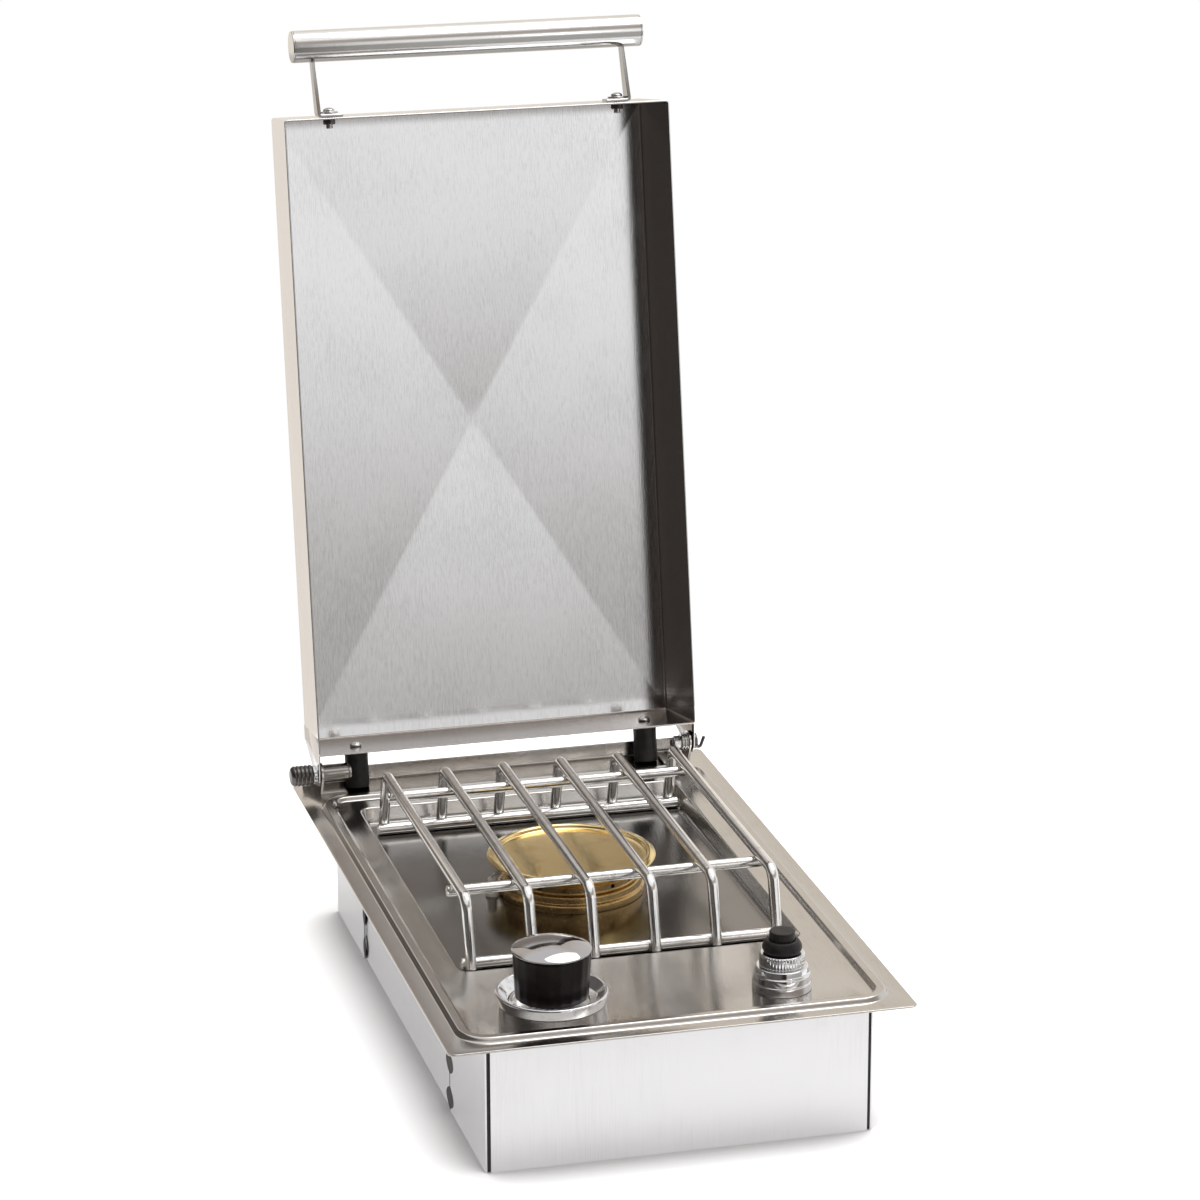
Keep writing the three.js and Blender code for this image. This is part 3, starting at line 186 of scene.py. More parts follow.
# metal: two close colours in clouds and grain, with a fine grain in the bump, and on some finishes painted
# shade; sizes in millimetres
metalMix = Look(
    speck=0.7, smudge=0.4, smudgeRange=(0.52, 0.72), toneRange=(0.36, 0.64), waveSize=110,
    inwardRange=(0.03, 0.08),
)
metalPlain = Look(grain=0.5, run=(1, 1, 1), grainDepth=0.05, cloud=6, wave=0.0, cloudShare=0.7)
metalLook = {
    "plateSteel": Look(
        slot="satin_steel", light=(0.61, 0.585, 0.555), dark=(0.51, 0.485, 0.455),
        rough=(0.12, 0.19), grain=0.55, run=(1, 28, 1), grainDepth=0.1, cloud=60, wave=0.1,
        # shade: painted shade in the plate's well, darker below 83.5 to 88 mm
        cloudShare=0.6, shade=(0.0835, 0.088, 0.43),
    ),
    "boxSteel": Look(
        slot="box_steel", light=(0.77, 0.765, 0.77), dark=(0.7, 0.695, 0.7), rough=(0.16, 0.24),
        grain=0.6, run=(1, 1, 60), grainDepth=0.06, cloud=90, wave=0.12, cloudShare=0.5,
    ),
    "lidSteel": Look(
        slot="lid_steel", light=(0.84, 0.835, 0.835), dark=(0.7, 0.695, 0.695), rough=(0.1, 0.16),
        grain=0.9, run=(1, 1, 9), grainDepth=0.03, cloud=120, wave=0.1, cloudShare=0.35,
        # inside: painted dark reflection on the rims' inner faces: the pan's middle height in metres, and
        # the colour there
        inside=(0.259, (0.29, 0.26, 0.24)),
    ),
    "rodSteel": Look(
        slot="polished_steel", light=(0.88, 0.87, 0.85), dark=(0.52, 0.5, 0.47), rough=(0.1, 0.26),
        grain=1.1, cloud=9, cloudShare=0.75,
    ),
    "handleSteel": Look(
        slot="polished_steel", light=(0.84, 0.835, 0.82), dark=(0.74, 0.73, 0.71),
        rough=(0.13, 0.22), run=(60, 1, 1), cloud=40, cloudShare=0.5,
        # shade: painted shade on the underside of the handle tube
        shade=(0.549, 0.5545, 0.55),
    ),
    "chrome": Look(
        slot="chrome", light=(0.82, 0.82, 0.83), dark=(0.5, 0.495, 0.51), rough=(0.05, 0.12),
        grain=0.7, grainDepth=0.015, cloud=7, wave=0.02, cloudShare=0.8,
    ),
    # a darker copy of the chrome: painted dark reflection on the knob's cap
    "smokedChrome": Look(
        slot="chrome", light=(0.47, 0.455, 0.455), dark=(0.36, 0.345, 0.35), rough=(0.04, 0.09),
        grain=0.7, grainDepth=0.01, cloud=14, wave=0.02,
    ),
    "screwSteel": Look(
        slot="fastener_steel", light=(0.66, 0.65, 0.63), dark=(0.44, 0.43, 0.41), rough=(0.2, 0.34),
        grain=0.4, grainDepth=0.1, cloud=5,
    ),
    "spacerSteel": Look(
        slot="dark_steel", light=(0.46, 0.44, 0.41), dark=(0.27, 0.26, 0.24), rough=(0.14, 0.24),
    ),
    "darkSteel": Look(
        slot="dark_steel", light=(0.16, 0.15, 0.145), dark=(0.07, 0.066, 0.062), rough=(0.22, 0.38),
        grainDepth=0.1,
    ),
    "burnerBrass": Look(
        slot="brass", light=(0.54, 0.37, 0.17), dark=(0.27, 0.18, 0.09), rough=(0.2, 0.34),
        grain=0.45, grainDepth=0.06, cloud=14, wave=0.03,
    ),
    "brass": Look(
        slot="brass", light=(0.95, 0.74, 0.36), dark=(0.72, 0.5, 0.2), rough=(0.12, 0.24),
        grain=0.45, grainDepth=0.06, cloud=17, wave=0.03,
    ),
}


def metalFinish(name, look):
    recipe = newFinish(name)
    place = recipe.place()
    grain = recipe.noise(recipe.along(place, look.run), look.grain, 3, 0.6)
    speck = recipe.noise(place, look.grain * metalMix.speck, 2, 0.6)
    cloud = recipe.noise(place, look.cloud, 4, 0.55)
    smudge = recipe.noise(place, look.cloud * metalMix.smudge, 5, 0.6)
    smudge = recipe.ramp(smudge, *metalMix.smudgeRange)
    share = look.cloudShare
    tone = cloud * share + grain * (0.8 - 0.5 * share) + speck * (0.2 - 0.1 * share)
    colour = recipe.mix(recipe.ramp(tone, *metalMix.toneRange), look.dark, look.light)
    if "shade" in look:        # painted shade low down: darker between which heights in metres, and how dark; in the plate's well and under the handle tube
        low, high, dark = look.shade
        deep = recipe.ramp(recipe.parts(place)[2], low, high, dark)
        colour = recipe.mix(deep, (0, 0, 0), colour)
    if "inside" in look:        # painted dark reflection: darker on faces that look at the pan's middle, the rims' inner faces; the middle's height is in metres
        middle, paintedRimShade = look.inside
        spot, face = recipe.parts(place), recipe.parts(recipe.add("TexCoord", output="Normal"))
        inward = recipe.ramp(spot[0] * face[0] * -1 - (spot[2] - middle) * face[2], *metalMix.inwardRange)
        colour = recipe.mix(inward, colour, paintedRimShade)
    low, high = look.rough
    rough = low + (high - low) * (0.45 * grain + 0.25 * speck + 0.35 * smudge)
    normal = recipe.bump(grain * 0.7 + speck * 0.3, look.grainDepth * look.grain)
    if look.wave > 0:
        normal = recipe.bump(recipe.noise(place, metalMix.waveSize, 1, 0.4), look.wave, normal)
    shader = recipe.add("BsdfPrincipled", None, {
        "Base Color": colour, "Roughness": rough, "Metallic": 1.0, "Normal": normal})
    recipe.finish(shader)


for finishName, finishLook in metalLook.items():
    metalFinish(finishName, Look(metalPlain, **finishLook))


# plastics, rubber and ceramic: two close colours, a fine grain in the bump
plasticPlain = Look(coat=0.0, ior=1.5)
plasticLook = {
    "stopRubber": Look(
        slot="stop_rubber", light=(0.03, 0.027, 0.026), dark=(0.01, 0.009, 0.009),
        rough=(0.42, 0.62), grain=0.8, depth=0.05, cloud=8,
    ),
    "knobBlack": Look(
        slot="knob_plastic", light=(0.016, 0.01, 0.01), dark=(0.008, 0.005, 0.005),
        rough=(0.26, 0.38), grain=0.9, depth=0.01, cloud=12, ior=1.28,
    ),
    "buttonBlack": Look(
        slot="button_plastic", light=(0.03, 0.026, 0.024), dark=(0.012, 0.01, 0.01),
        rough=(0.38, 0.55), grain=0.5, depth=0.04, cloud=6, ior=1.35,
    ),
    "porcelain": Look(
        slot="electrode_ceramic", light=(0.86, 0.84, 0.78), dark=(0.74, 0.7, 0.62),
        rough=(0.25, 0.4), grain=0.6, depth=0.02, coat=0.4, cloud=4,
    ),
}


def plasticFinish(name, look):
    recipe = newFinish(name)
    place = recipe.place()
    cloud = recipe.noise(place, look.cloud, 4, 0.6)
    speck = recipe.noise(place, look.grain, 3, 0.6)
    colour = recipe.mix(recipe.ramp(cloud * 0.7 + speck * 0.3, 0.38, 0.62), look.dark, look.light)
    low, high = look.rough
    rough = low + (high - low) * (cloud * 0.5 + speck * 0.5)
    shader = recipe.add("BsdfPrincipled", None, {
        "Base Color": colour, "Roughness": rough, "Coat Weight": look.coat, "Coat Roughness": 0.08,
        "IOR": look.ior, "Normal": recipe.bump(speck, look.depth)})
    recipe.finish(shader)


for finishName, finishLook in plasticLook.items():
    plasticFinish(finishName, Look(plasticPlain, **finishLook))
print("side burner: finishes mixed")


# studio: pale floor, bright behind and overhead, darker round the camera,
# with a lamp above and a strip at the front
studioLook = Look(
    floorHalf=1400, floorFront=-520, floorRear=640, contactReach=60, contactRange=(0.45, 0.95),
    floorColour=0.86, floorCloud=40, floorSpread=0.01, floorLift=0.72, mirrorLift=0.31,
    lampAim=(0, 0, 100),
    overheadPlace=(750, 250, 2250), overheadSize=(1500, 1500), overheadPower=20,
    stripPlace=(980, -2350, 1250), stripSize=(130, 560), stripPower=0.7,
    rearLight=(0.84, 0.775, 0.7), rightLight=(0.92, 0.91, 0.9), rightRange=(0.32, 0.55),
    leftDark=(0.11, 0.1, 0.095), leftRange=(0.18, 0.42), leftFloor=(-0.12, 0.0),
    topLight=(0.97, 0.97, 0.98), topRange=(0.66, 0.8), frontRange=(-0.12, 0.2),
    frontLow=(0.41, 0.4, 0.385), frontBright=(0.95, 0.95, 0.96), frontRise=(0.02, 0.09),
    frontLeft=(0.03, 0.024, 0.02), frontLeftRange=(0.0, 0.12),
    frontHigh=(0.41, 0.365, 0.33), frontHighRange=(0.34, 0.44),
)


# whether a ray comes straight from the camera, and whether it comes by way of metal or glass
def seenDirectly(recipe):
    rays = recipe.tree.nodes.new("ShaderNodeLightPath")
    seen = [Wire(recipe.tree, rays.outputs[kind])
            for kind in ("Is Camera Ray", "Is Glossy Ray", "Is Transmission Ray")]
    return seen[0], seen[1].most(seen[2])


def addStudio(look):
    half, front, rear = (look[key] * mm for key in ("floorHalf", "floorFront", "floorRear"))
    mesh = bpy.data.meshes.new("floor")
    corners = [(-half, front, 0), (half, front, 0), (half, rear, 0), (-half, rear, 0)]
    mesh.from_pydata(corners, [], [(0, 1, 2, 3)])
    floor = bpy.data.objects.new("floor", mesh)
    bpy.context.scene.collection.objects.link(floor)
    recipe = newFinish("paleFloor")
    tone = recipe.noise(recipe.place(), look.floorCloud, 3, 0.6)
    plain, spread = look.floorColour, look.floorSpread
    colour = recipe.mix(tone, (plain - spread,) * 3, (plain + spread,) * 3)
    matte = recipe.add("BsdfDiffuse", None, {"Color": colour})
    camera, mirrored = seenDirectly(recipe)
    # painted contact shadow: the floor's glow for camera rays fades where ambient occlusion finds the box
    # close by, deepening the lamps' real shadow
    reach = recipe.add("AmbientOcclusion", {"samples": 8}, {"Distance": look.contactReach * mm}, output=1)
    clear = recipe.ramp(reach, *look.contactRange)
    strength = camera * clear * look.floorLift + mirrored * look.mirrorLift
    lift = recipe.add("Emission", None, {"Color": (1, 1, 1), "Strength": strength})
    recipe.finish(recipe.add("AddShader", None, {0: matte, 1: lift}))
    mesh.materials.append(finishes["paleFloor"])

    world = bpy.data.worlds.new("studio")
    world.use_nodes = True
    bpy.context.scene.world = world
    sky = Recipe(world.node_tree)
    across, deep, high = sky.parts(sky.add("TexCoord", output="Generated"))
    ahead = sky.mix(sky.ramp(high, *look.frontRise), look.frontLow, look.frontBright)
    ahead = sky.mix(sky.ramp(across, *look.frontLeftRange), look.frontLeft, ahead)
    ahead = sky.mix(sky.ramp(high, *look.frontHighRange), ahead, look.frontHigh)
    behind = sky.mix(sky.ramp(across, *look.rightRange), look.rearLight, look.rightLight)
    light = sky.mix(sky.ramp(deep * -1, *look.frontRange), behind, ahead)
    left = sky.ramp(across * -1, *look.leftRange) * sky.ramp(high, *look.leftFloor)
    light = sky.mix(left, light, look.leftDark)
    light = sky.mix(sky.ramp(high, *look.topRange), light, look.topLight)
    light = sky.mix(seenDirectly(sky)[0], light, (1, 1, 1))
    sky.finish(sky.add("Background", None, {"Color": light, "Strength": 1.0}), "OutputWorld")

    for name in ("overhead", "strip"):
        data = bpy.data.lights.new(name + "Light", "AREA")
        data.shape = "RECTANGLE"
        data.size, data.size_y = (side * mm for side in look[name + "Size"])
        data.energy = look[name + "Power"]
        lamp = bpy.data.objects.new(name + "Light", data)
        lamp.location = Vector(look[name + "Place"]) * mm
        aim = Vector(look.lampAim) * mm - lamp.location
        lamp.rotation_euler = aim.to_track_quat("-Z", "Y").to_euler()
        bpy.context.scene.collection.objects.link(lamp)


addStudio(studioLook)
print("side burner: studio set")


# shapes: each returns points in millimetres and faces
def loft(rings, capped=False):
    points = [Vector(p) for ring in rings for p in ring]
    count = len(rings[0])
    faces = []
    for i in range(len(rings) - 1):
        for k in range(count):
            n = (k + 1) % count
            faces.append((i * count + k, i * count + n, (i + 1) * count + n, (i + 1) * count + k))
    if capped:
        faces.append(tuple(reversed(range(count))))
        faces.append(tuple(range(len(points) - count, len(points))))
    return points, faces


def joined(*shapes):
    points, faces = [], []
    for somePoints, someFaces in shapes:
        start = len(points)
        points += somePoints
        faces += [tuple(start + k for k in face) for face in someFaces]
    return points, faces


def moved(shape, matrix):
    return [matrix @ p for p in shape[0]], shape[1]


def raised(profile, height):
    return [(radius, height + rise, *soft) for radius, rise, *soft in profile]


# a profile's corners rounded: a third number is how far from the corner the curve starts
def softened(profile, closed=False, steps=4, soft=0.0):
    done = []
    count = len(profile)
    for i, entry in enumerate(profile):
        here = Vector(entry[:2])
        reach = entry[2] if len(entry) > 2 else soft
        if reach == 0 or (not closed and i in (0, count - 1)):
            done.append(here)
            continue
        before = Vector(profile[i - 1][:2]) - here
        after = Vector(profile[(i + 1) % count][:2]) - here
        reach = min(reach, before.length * 0.49, after.length * 0.49)
        start = here + before.normalized() * reach
        end = here + after.normalized() * reach
        for k in range(steps + 1):
            t = k / steps
            done.append(start.lerp(here, t).lerp(here.lerp(end, t), t))
    return done


# a turned solid about Z; ripple changes the radius with the angle
def turned(profile, sides=64, closed=False, soft=0.3, ripple=None):
    rings = []
    outline = softened(profile, closed, 4, soft)
    for radius, height in outline:
        ring = []
        for k in range(sides):
            angle = 2 * math.pi * k / sides
            wide = radius if ripple is None else ripple(radius, angle)
            ring.append((wide * math.cos(angle), wide * math.sin(angle), height))
        rings.append(ring)
    if closed:
        rings.append(rings[0])
    return loft(rings)


def upAt(x, y):
    return Matrix.Translation((x, y, 0))


# turned solids that lie along X or Y: their heights run along that axis
def alongX(x, y, z, sign=1):
    return Matrix(((0, 0, sign, x), (sign, 0, 0, y), (0, 1, 0, z), (0, 0, 0, 1)))


def alongY(x, y, z):
    return Matrix(((1, 0, 0, x), (0, 0, 1, y), (0, -1, 0, z), (0, 0, 0, 1)))


# a route whose corners are rounded with arcs
def bentRoute(corners, bend, steps=10):
    corners = [Vector(p) for p in corners]
    route = [corners[0]]
    for i in range(1, len(corners) - 1):
        before = (corners[i - 1] - corners[i]).normalized()
        after = (corners[i + 1] - corners[i]).normalized()
        half = before.angle(after) / 2
        centre = corners[i] + (before + after).normalized() * (bend / math.sin(half))
        start = corners[i] + before * (bend / math.tan(half)) - centre
        end = corners[i] + after * (bend / math.tan(half)) - centre
        axis = start.cross(end).normalized()
        sweep = start.angle(end)
        for k in range(steps + 1):
            route.append(centre + Matrix.Rotation(sweep * k / steps, 3, axis) @ start)
    route.append(corners[-1])
    return route


# a round rod along a route, its ends slightly rounded
def rod(route, radius, sides=24, edge=0.4):
    route = [Vector(p) for p in route]
    first = (route[1] - route[0]).normalized()
    last = (route[-1] - route[-2]).normalized()
    across = first.orthogonal().normalized()
    rings = []
    count = len(route)
    for i, here in enumerate(route):
        if i == 0:
            ahead = first
        elif i == count - 1:
            ahead = last
        else:
            ahead = ((here - route[i - 1]).normalized() + (route[i + 1] - here).normalized()).normalized()
        across = (across - ahead * across.dot(ahead)).normalized()
        other = ahead.cross(across)

        def circle(centre, wide):
            return [centre + (across * math.cos(2 * math.pi * k / sides)
                              + other * math.sin(2 * math.pi * k / sides)) * wide for k in range(sides)]
        if i == 0:
            rings += [circle(here, 0), circle(here, radius - edge), circle(here + ahead * edge, radius)]
        elif i == count - 1:
            rings += [circle(here - ahead * edge, radius), circle(here, radius - edge), circle(here, 0)]
        else:
            rings.append(circle(here, radius))
    return loft(rings)


# a straight bar: an outline in two directions, pushed along the third
def bar(outline, low, high, axis, edge=0.25):
    flat = softened(outline, True, 3)
    centre = sum(flat, Vector((0, 0))) / len(flat)

    def place(u, v, w):
        return {"x": (w, u, v), "y": (u, w, v), "z": (u, v, w)}[axis]

    def ring(w, inset):
        shape = insetOutline(flat, inset)
        return [place(p.x, p.y, w) for p in shape]
    rings = [[place(centre.x, centre.y, low)] * len(flat), ring(low, edge), ring(low + edge, 0),
             ring(high - edge, 0), ring(high, edge), [place(centre.x, centre.y, high)] * len(flat)]
    if not convexOutline(flat):
        return loft(rings[1:5], True)
    return loft(rings)


def convexOutline(flat):
    signs = set()
    for i in range(len(flat)):
        a, b, c = flat[i - 2], flat[i - 1], flat[i]
        turn = (b - a).cross(c - b)
        if abs(turn) > 1e-6:
            signs.add(turn > 0)
    return len(signs) == 1


def insetOutline(flat, inset):
    if inset == 0:
        return flat
    area = sum(flat[i - 1].cross(flat[i]) for i in range(len(flat)))
    side = 1 if area > 0 else -1
    result = []
    for i in range(len(flat)):
        before = flat[i] - flat[i - 1]
        after = flat[(i + 1) % len(flat)] - flat[i]
        normals = [Vector((-run.y, run.x)).normalized() * side
                   for run in (before, after) if run.length > 1e-6]
        lean = sum(normals, Vector((0, 0)))
        lean = lean.normalized() if lean.length > 1e-6 else Vector((0, 0))
        spread = max(0.4, lean.dot(normals[0])) if normals else 1
        result.append(flat[i] + lean * (inset / spread))
    return result


# a rounded rectangle in plan: half width, front, rear and corner radius, at one height
def planRing(half, front, rear, corner, height, steps=10):
    ring = []
    corner = max(corner, 0.05)        # a sharp corner keeps its points apart
    for quarter, (x, y) in enumerate([(half - corner, rear - corner), (corner - half, rear - corner),
                                      (corner - half, front + corner), (half - corner, front + corner)]):
        for k in range(steps + 1):
            angle = math.pi / 2 * (quarter + k / steps)
            ring.append((x + corner * math.cos(angle), y + corner * math.sin(angle), height))
    return ring


def addPiece(name, shape, finish, body, node=None, placedAt=None, sharp=40):
    mesh = bpy.data.meshes.new(name)
    mesh.from_pydata([p * mm for p in shape[0]], [], shape[1])
    work = bmesh.new()
    work.from_mesh(mesh)
    bmesh.ops.remove_doubles(work, verts=work.verts, dist=1e-6)
    bmesh.ops.dissolve_degenerate(work, edges=work.edges, dist=1e-7)
    bmesh.ops.recalc_face_normals(work, faces=work.faces)
    work.to_mesh(mesh)
    work.free()
    mesh.shade_smooth()
    mesh.set_sharp_from_angle(angle=math.radians(sharp))
    mesh.materials.append(finishes[finish])
    piece = bpy.data.objects.new(name, mesh)
    bpy.context.scene.collection.objects.link(piece)
    if placedAt is not None:
        piece.matrix_world = placedAt
    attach(piece, body)
    if node is not None:
        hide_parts(node)
    return piece


sheetAngle = 28        # degrees: where a CAD sheet part turns by more than this, its edge is broken


# a CAD sheet part of the base, drawn again with its sharp edges broken
def brokenEdges(node, finish, edge):
    work = bmesh.new()
    work.from_mesh(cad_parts[node].data)
    bmesh.ops.remove_doubles(work, verts=work.verts, dist=2e-6)
    bmesh.ops.dissolve_limit(work, angle_limit=math.radians(0.5), verts=work.verts, edges=work.edges)
    points = [v.co / mm for v in work.verts]
    work.verts.index_update()
    faces = [tuple(v.index for v in face.verts) for face in work.faces]
    work.free()
    piece = addPiece(node + "_finished", (points, faces), finish, "base", node, sharp=sheetAngle)
    bevel = piece.modifiers.new("brokenEdge", "BEVEL")
    bevel.width = edge * mm
    bevel.segments = 2
    bevel.limit_method = "ANGLE"
    bevel.angle_limit = math.radians(sheetAngle)
    bevel.harden_normals = True
    piece.data.shade_smooth()


def nodeSpan(node):
    low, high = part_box(node)
    return low / mm, high / mm


def nodeAxis(node):
    low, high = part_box(node)
    centre = (low + high) / 2 / mm
    return upAt(centre.x, centre.y)


# the hinge's axis, and the lid's own frame on it: Z up its face, Y out of its back
pivotLook = Look(y=245, z=112.6, lean=-9.8)
lidFrame = (Matrix.Translation(Vector((0, pivotLook.y, pivotLook.z)) * mm)
            @ Matrix.Rotation(math.radians(pivotLook.lean), 4, "X"))

# top plate: one pressed sheet with a raised bead, a well and an upstand behind
plateLook = Look(
    half=165, front=-272.5, rear=272.5, corner=5, top=95.5, sheet=1.5, edge=0.45,
    bead=Look(half=153.5, front=-261, rear=235.5, corner=24, width=11.5, height=3.5,
              foot=3.4, steps=26, underside=((0, 0), (0.2, 0.9), (0.8, 0.9), (1, 0))),
    well=Look(half=125.5, front=-133, rear=208, corner=10, floor=83, slope=4,
              apron=6, lip=2.2, brow=0.4, fillet=3.2, floorRim=16),
    upstand=Look(half=157, top=107, sheet=1.5, fillet=3, sink=0.6, rounding=0.6,
                 lift=0.02, toe=0.2),
)


def topPlate(look):
    def ring(base, inset, height):
        return planRing(base.half - inset, base.front + inset, base.rear - inset,
                        base.corner - inset, height)
    top, sheet, edge = look.top, look.sheet, look.edge
    bead, well, up = look.bead, look.well, look.upstand
    above = [ring(look, 0, top - sheet / 2), ring(look, 0, top - edge),
             ring(look, edge * 0.3, top - edge * 0.3), ring(look, edge, top), ring(look, edge * 3, top)]
    for k in range(bead.steps + 1):
        across = k / bead.steps
        rise = min(1, min(across, 1 - across) * bead.width / bead.foot)
        rise = rise * rise * (3 - 2 * rise)
        above.append(ring(bead, across * bead.width, top + bead.height * rise))
    depth = top - well.floor
    wall = [(-well.apron, 0), (-well.lip, 0, well.lip * 0.9), (well.brow, 0, well.lip),
            (well.slope, -depth, well.fillet), (well.slope + well.floorRim, -depth)]
    above += [ring(well, inset, top + down) for inset, down in softened(wall, False, 7)]
    middleY = (well.front + well.rear) / 2
    above.append([(0, middleY, well.floor)] * len(above[0]))

    low = top - sheet
    below = [ring(look, 0, top - sheet / 2), ring(look, 0, low + edge), ring(look, edge, low)]
    inner = Look(bead, half=bead.half - sheet, front=bead.front + sheet, rear=bead.rear - sheet)
    for across, rise in bead.underside:
        below.append(ring(inner, across * (bead.width - 2 * sheet), low + bead.height * rise))
    below.append(ring(well, -sheet, low))
    below.append(ring(well, well.slope - sheet, well.floor - sheet))
    below.append([(0, middleY, well.floor - sheet)] * len(above[0]))

    back, sunk, seat = look.rear, top - up.sink, top + up.lift
    face = back - up.sheet
    profile = [(face - up.fillet, sunk), (face - up.fillet, seat, up.toe), (face, seat, up.fillet),
               (face, up.top, up.rounding), (back, up.top, up.rounding), (back, sunk)]
    return joined(loft(above), loft(below), bar(profile, -up.half, up.half, "x"))


addPiece("topPlateSheet", topPlate(plateLook), "plateSteel", "base", "top_plate")
print("side burner: top plate pressed")

# box below the plate: each sheet's finish and how far its edges are broken
boxLook = {
    "front_panel": ("boxSteel", 0.5),
    "front_corner_left": ("boxSteel", 0.35),
    "front_corner_right": ("boxSteel", 0.35),
    "side_panel_left": ("boxSteel", 0.3),
    "side_panel_right": ("boxSteel", 0.3),
    "rear_panel": ("boxSteel", 0.45),
    "bottom_pan": ("screwSteel", 0.35),
}
for node, (finish, edge) in boxLook.items():
    brokenEdges(node, finish, edge)

# painted shade: dark strips standing for the shadow in the open joint at each front corner and in the line
# of each side seam, and dark lens-shaped patches, just proud of each side seam, standing for its vents
gapLook = Look(
    height=(0.3, 93.8), edge=0.02, corner=(133.7, 135.7), cornerFront=-257.0, depth=0.6,
    side=(136.9, 137.06), seamWidth=1.6, seams=((-150, 11), (139, 4.5)),        # Y and a lens' half width
    lensZ=(9.5, 36, 62.5), lensHigh=8.6, lensLift=0.04, lensSides=24,
)


def paintedGapShade(look):
    low, high = look.height
    (cornerIn, cornerOut), (seamIn, seamOut) = look.corner, look.side
    outlines = [(cornerIn, cornerOut, look.cornerFront, look.cornerFront + look.depth)]
    half = look.seamWidth / 2
    outlines += [(seamIn, seamOut, y - half, y + half) for y, wide in look.seams]
    for side, sign in (("left", -1), ("right", 1)):
        strips = []
        for inner, outer, near, far in outlines:
            outline = [(sign * inner, near), (sign * outer, near), (sign * outer, far), (sign * inner, far)]
            strips.append(bar(outline, low, high, "z", look.edge))
        faces = sorted((sign * seamIn, sign * (seamOut + look.lensLift)))
        for y, wide in look.seams:
            for z in look.lensZ:
                lens = []
                for k in range(look.lensSides):
                    angle = 2 * math.pi * k / look.lensSides
                    reach = wide * math.cos(angle) * abs(math.cos(angle))
                    lens.append((y + reach, z + look.lensHigh * math.sin(angle)))
                strips.append(bar(lens, *faces, "x", look.edge))
        # the painted shade strips and patches take the stop rubber's near-black finish
        addPiece("sheetGaps_" + side, joined(*strips), "stopRubber", "base")


paintedGapShade(gapLook)
print("side burner: box folded")

# lid: a sheet folded into a shallow pan, with a soft cross break and two ears
lidLook = Look(
    lipHalf=150.5, rootHalf=147.5, lipY=-13.3, rootY=59.5, low=15.7, top=503.2, sheet=1.2,
    bend=2.4, bendSteps=6, leastBend=0.6, corner=2.0, hem=0.25, stations=(0.25, 0.8, 8, 24, 48),
    crossBreak=3.5, creaseWidth=2.2, creaseStart=0.4, creaseGrowth=3, rings=26,
    earRadius=9, earSink=6, earLap=8, earRoot=2, earSteps=24, earEdge=0.2,
    earGap=0.01, earHem=0.1,
)


def addLidPiece(name, shape, finish, node, sharp=40):
    addPiece(name, shape, finish, "lid", node, lidFrame, sharp)


def lidPan(look):
    lip, root, sheet, hem = look.lipY, look.rootY, look.sheet, look.hem
    low, top, corner, count = look.low, look.top, look.corner, look.rings
    middle = (low + top) / 2

    def ring(half, base, ceiling, rounding, depth):
        return [(x, y, z) for x, z, y in planRing(half, base, ceiling, rounding, depth)]

    def halfAt(depth):
        return look.rootHalf + (look.lipHalf - look.rootHalf) * (root - depth) / (root - lip)

    def shell(inset, floor):
        depths = [lip + station for station in look.stations] + [floor - look.bend - 1]
        rings = [ring(halfAt(depth) - inset, low + inset, top - inset, corner, depth) for depth in depths]
        start = halfAt(floor) - inset
        bend = max(look.bend - inset, look.leastBend)
        for k in range(look.bendSteps + 1):
            angle = math.pi / 2 * k / look.bendSteps
            drawn = bend * (1 - math.cos(angle))
            depth = floor - bend * (1 - math.sin(angle))
            rings.append(ring(start - drawn, low + inset + drawn, top - inset - drawn, corner, depth))
        wide, tall = start - bend, (top - low) / 2 - inset - bend
        for k in range(1, count):
            share = 1 - k / count
            soft = look.creaseWidth * min(1, look.creaseStart + look.creaseGrowth * (1 - share))
            soft = min(soft, wide * share * 0.8)
            depth = floor + look.crossBreak * (1 - share)
            rings.append(ring(wide * share, middle - tall * share, middle + tall * share, soft, depth))
        tip = floor + look.crossBreak * (1 - 0.5 / count)
        rings.append([(0, tip, middle)] * len(rings[0]))
        return loft(rings)
    start = halfAt(lip)
    edge = [ring(start - inset, low + inset, top - inset, corner, lip + lift)
            for inset, lift in ((sheet, hem), (sheet - hem, 0), (hem, 0), (0, hem))]

    # an ear: from the rim down to a round end about the pin, the sides tangent to it
    radius, knee = look.earRadius, low + look.earSink
    outline = [(root, low + look.earRoot), (root, knee + look.earLap),
               (lip + look.earHem, knee + look.earLap)]
    first = math.atan2(knee, lip) + math.acos(radius / math.hypot(lip, knee))
    last = math.atan2(low, root) - math.acos(radius / math.hypot(root, low)) + 2 * math.pi
    for k in range(look.earSteps + 1):
        angle = first + (last - first) * k / look.earSteps
        outline.append((radius * math.cos(angle), radius * math.sin(angle)))
    points, faces = bar(outline, 0, sheet, "x", look.earEdge)
    ears = [([Vector((sign * (halfAt(p.y) - sheet + p.x + look.earGap), p.y, p.z)) for p in points], faces)
            for sign in (-1, 1)]
    return joined(shell(0, root), shell(sheet, root - sheet), loft(edge), *ears)


addLidPiece("lidPanSheet", lidPan(lidLook), "lidSteel", "lid_pan", 50)

# rubber stops under the lid's rear rim, and their screws
stopLook = Look(
    x=116, y=14.5, top=15.4, low=-14.98, radius=9.3, waist=0.35, footHigh=6, neckLow=9,
    seat=1.8, shank=2.1, shankLength=15,        # seat: the screw's head above the rubber
    head=[(4.6, 0, 0.3), (4.6, 1.2, 1.2), (2.53, 2.9, 1.4), (0, 3)],
)


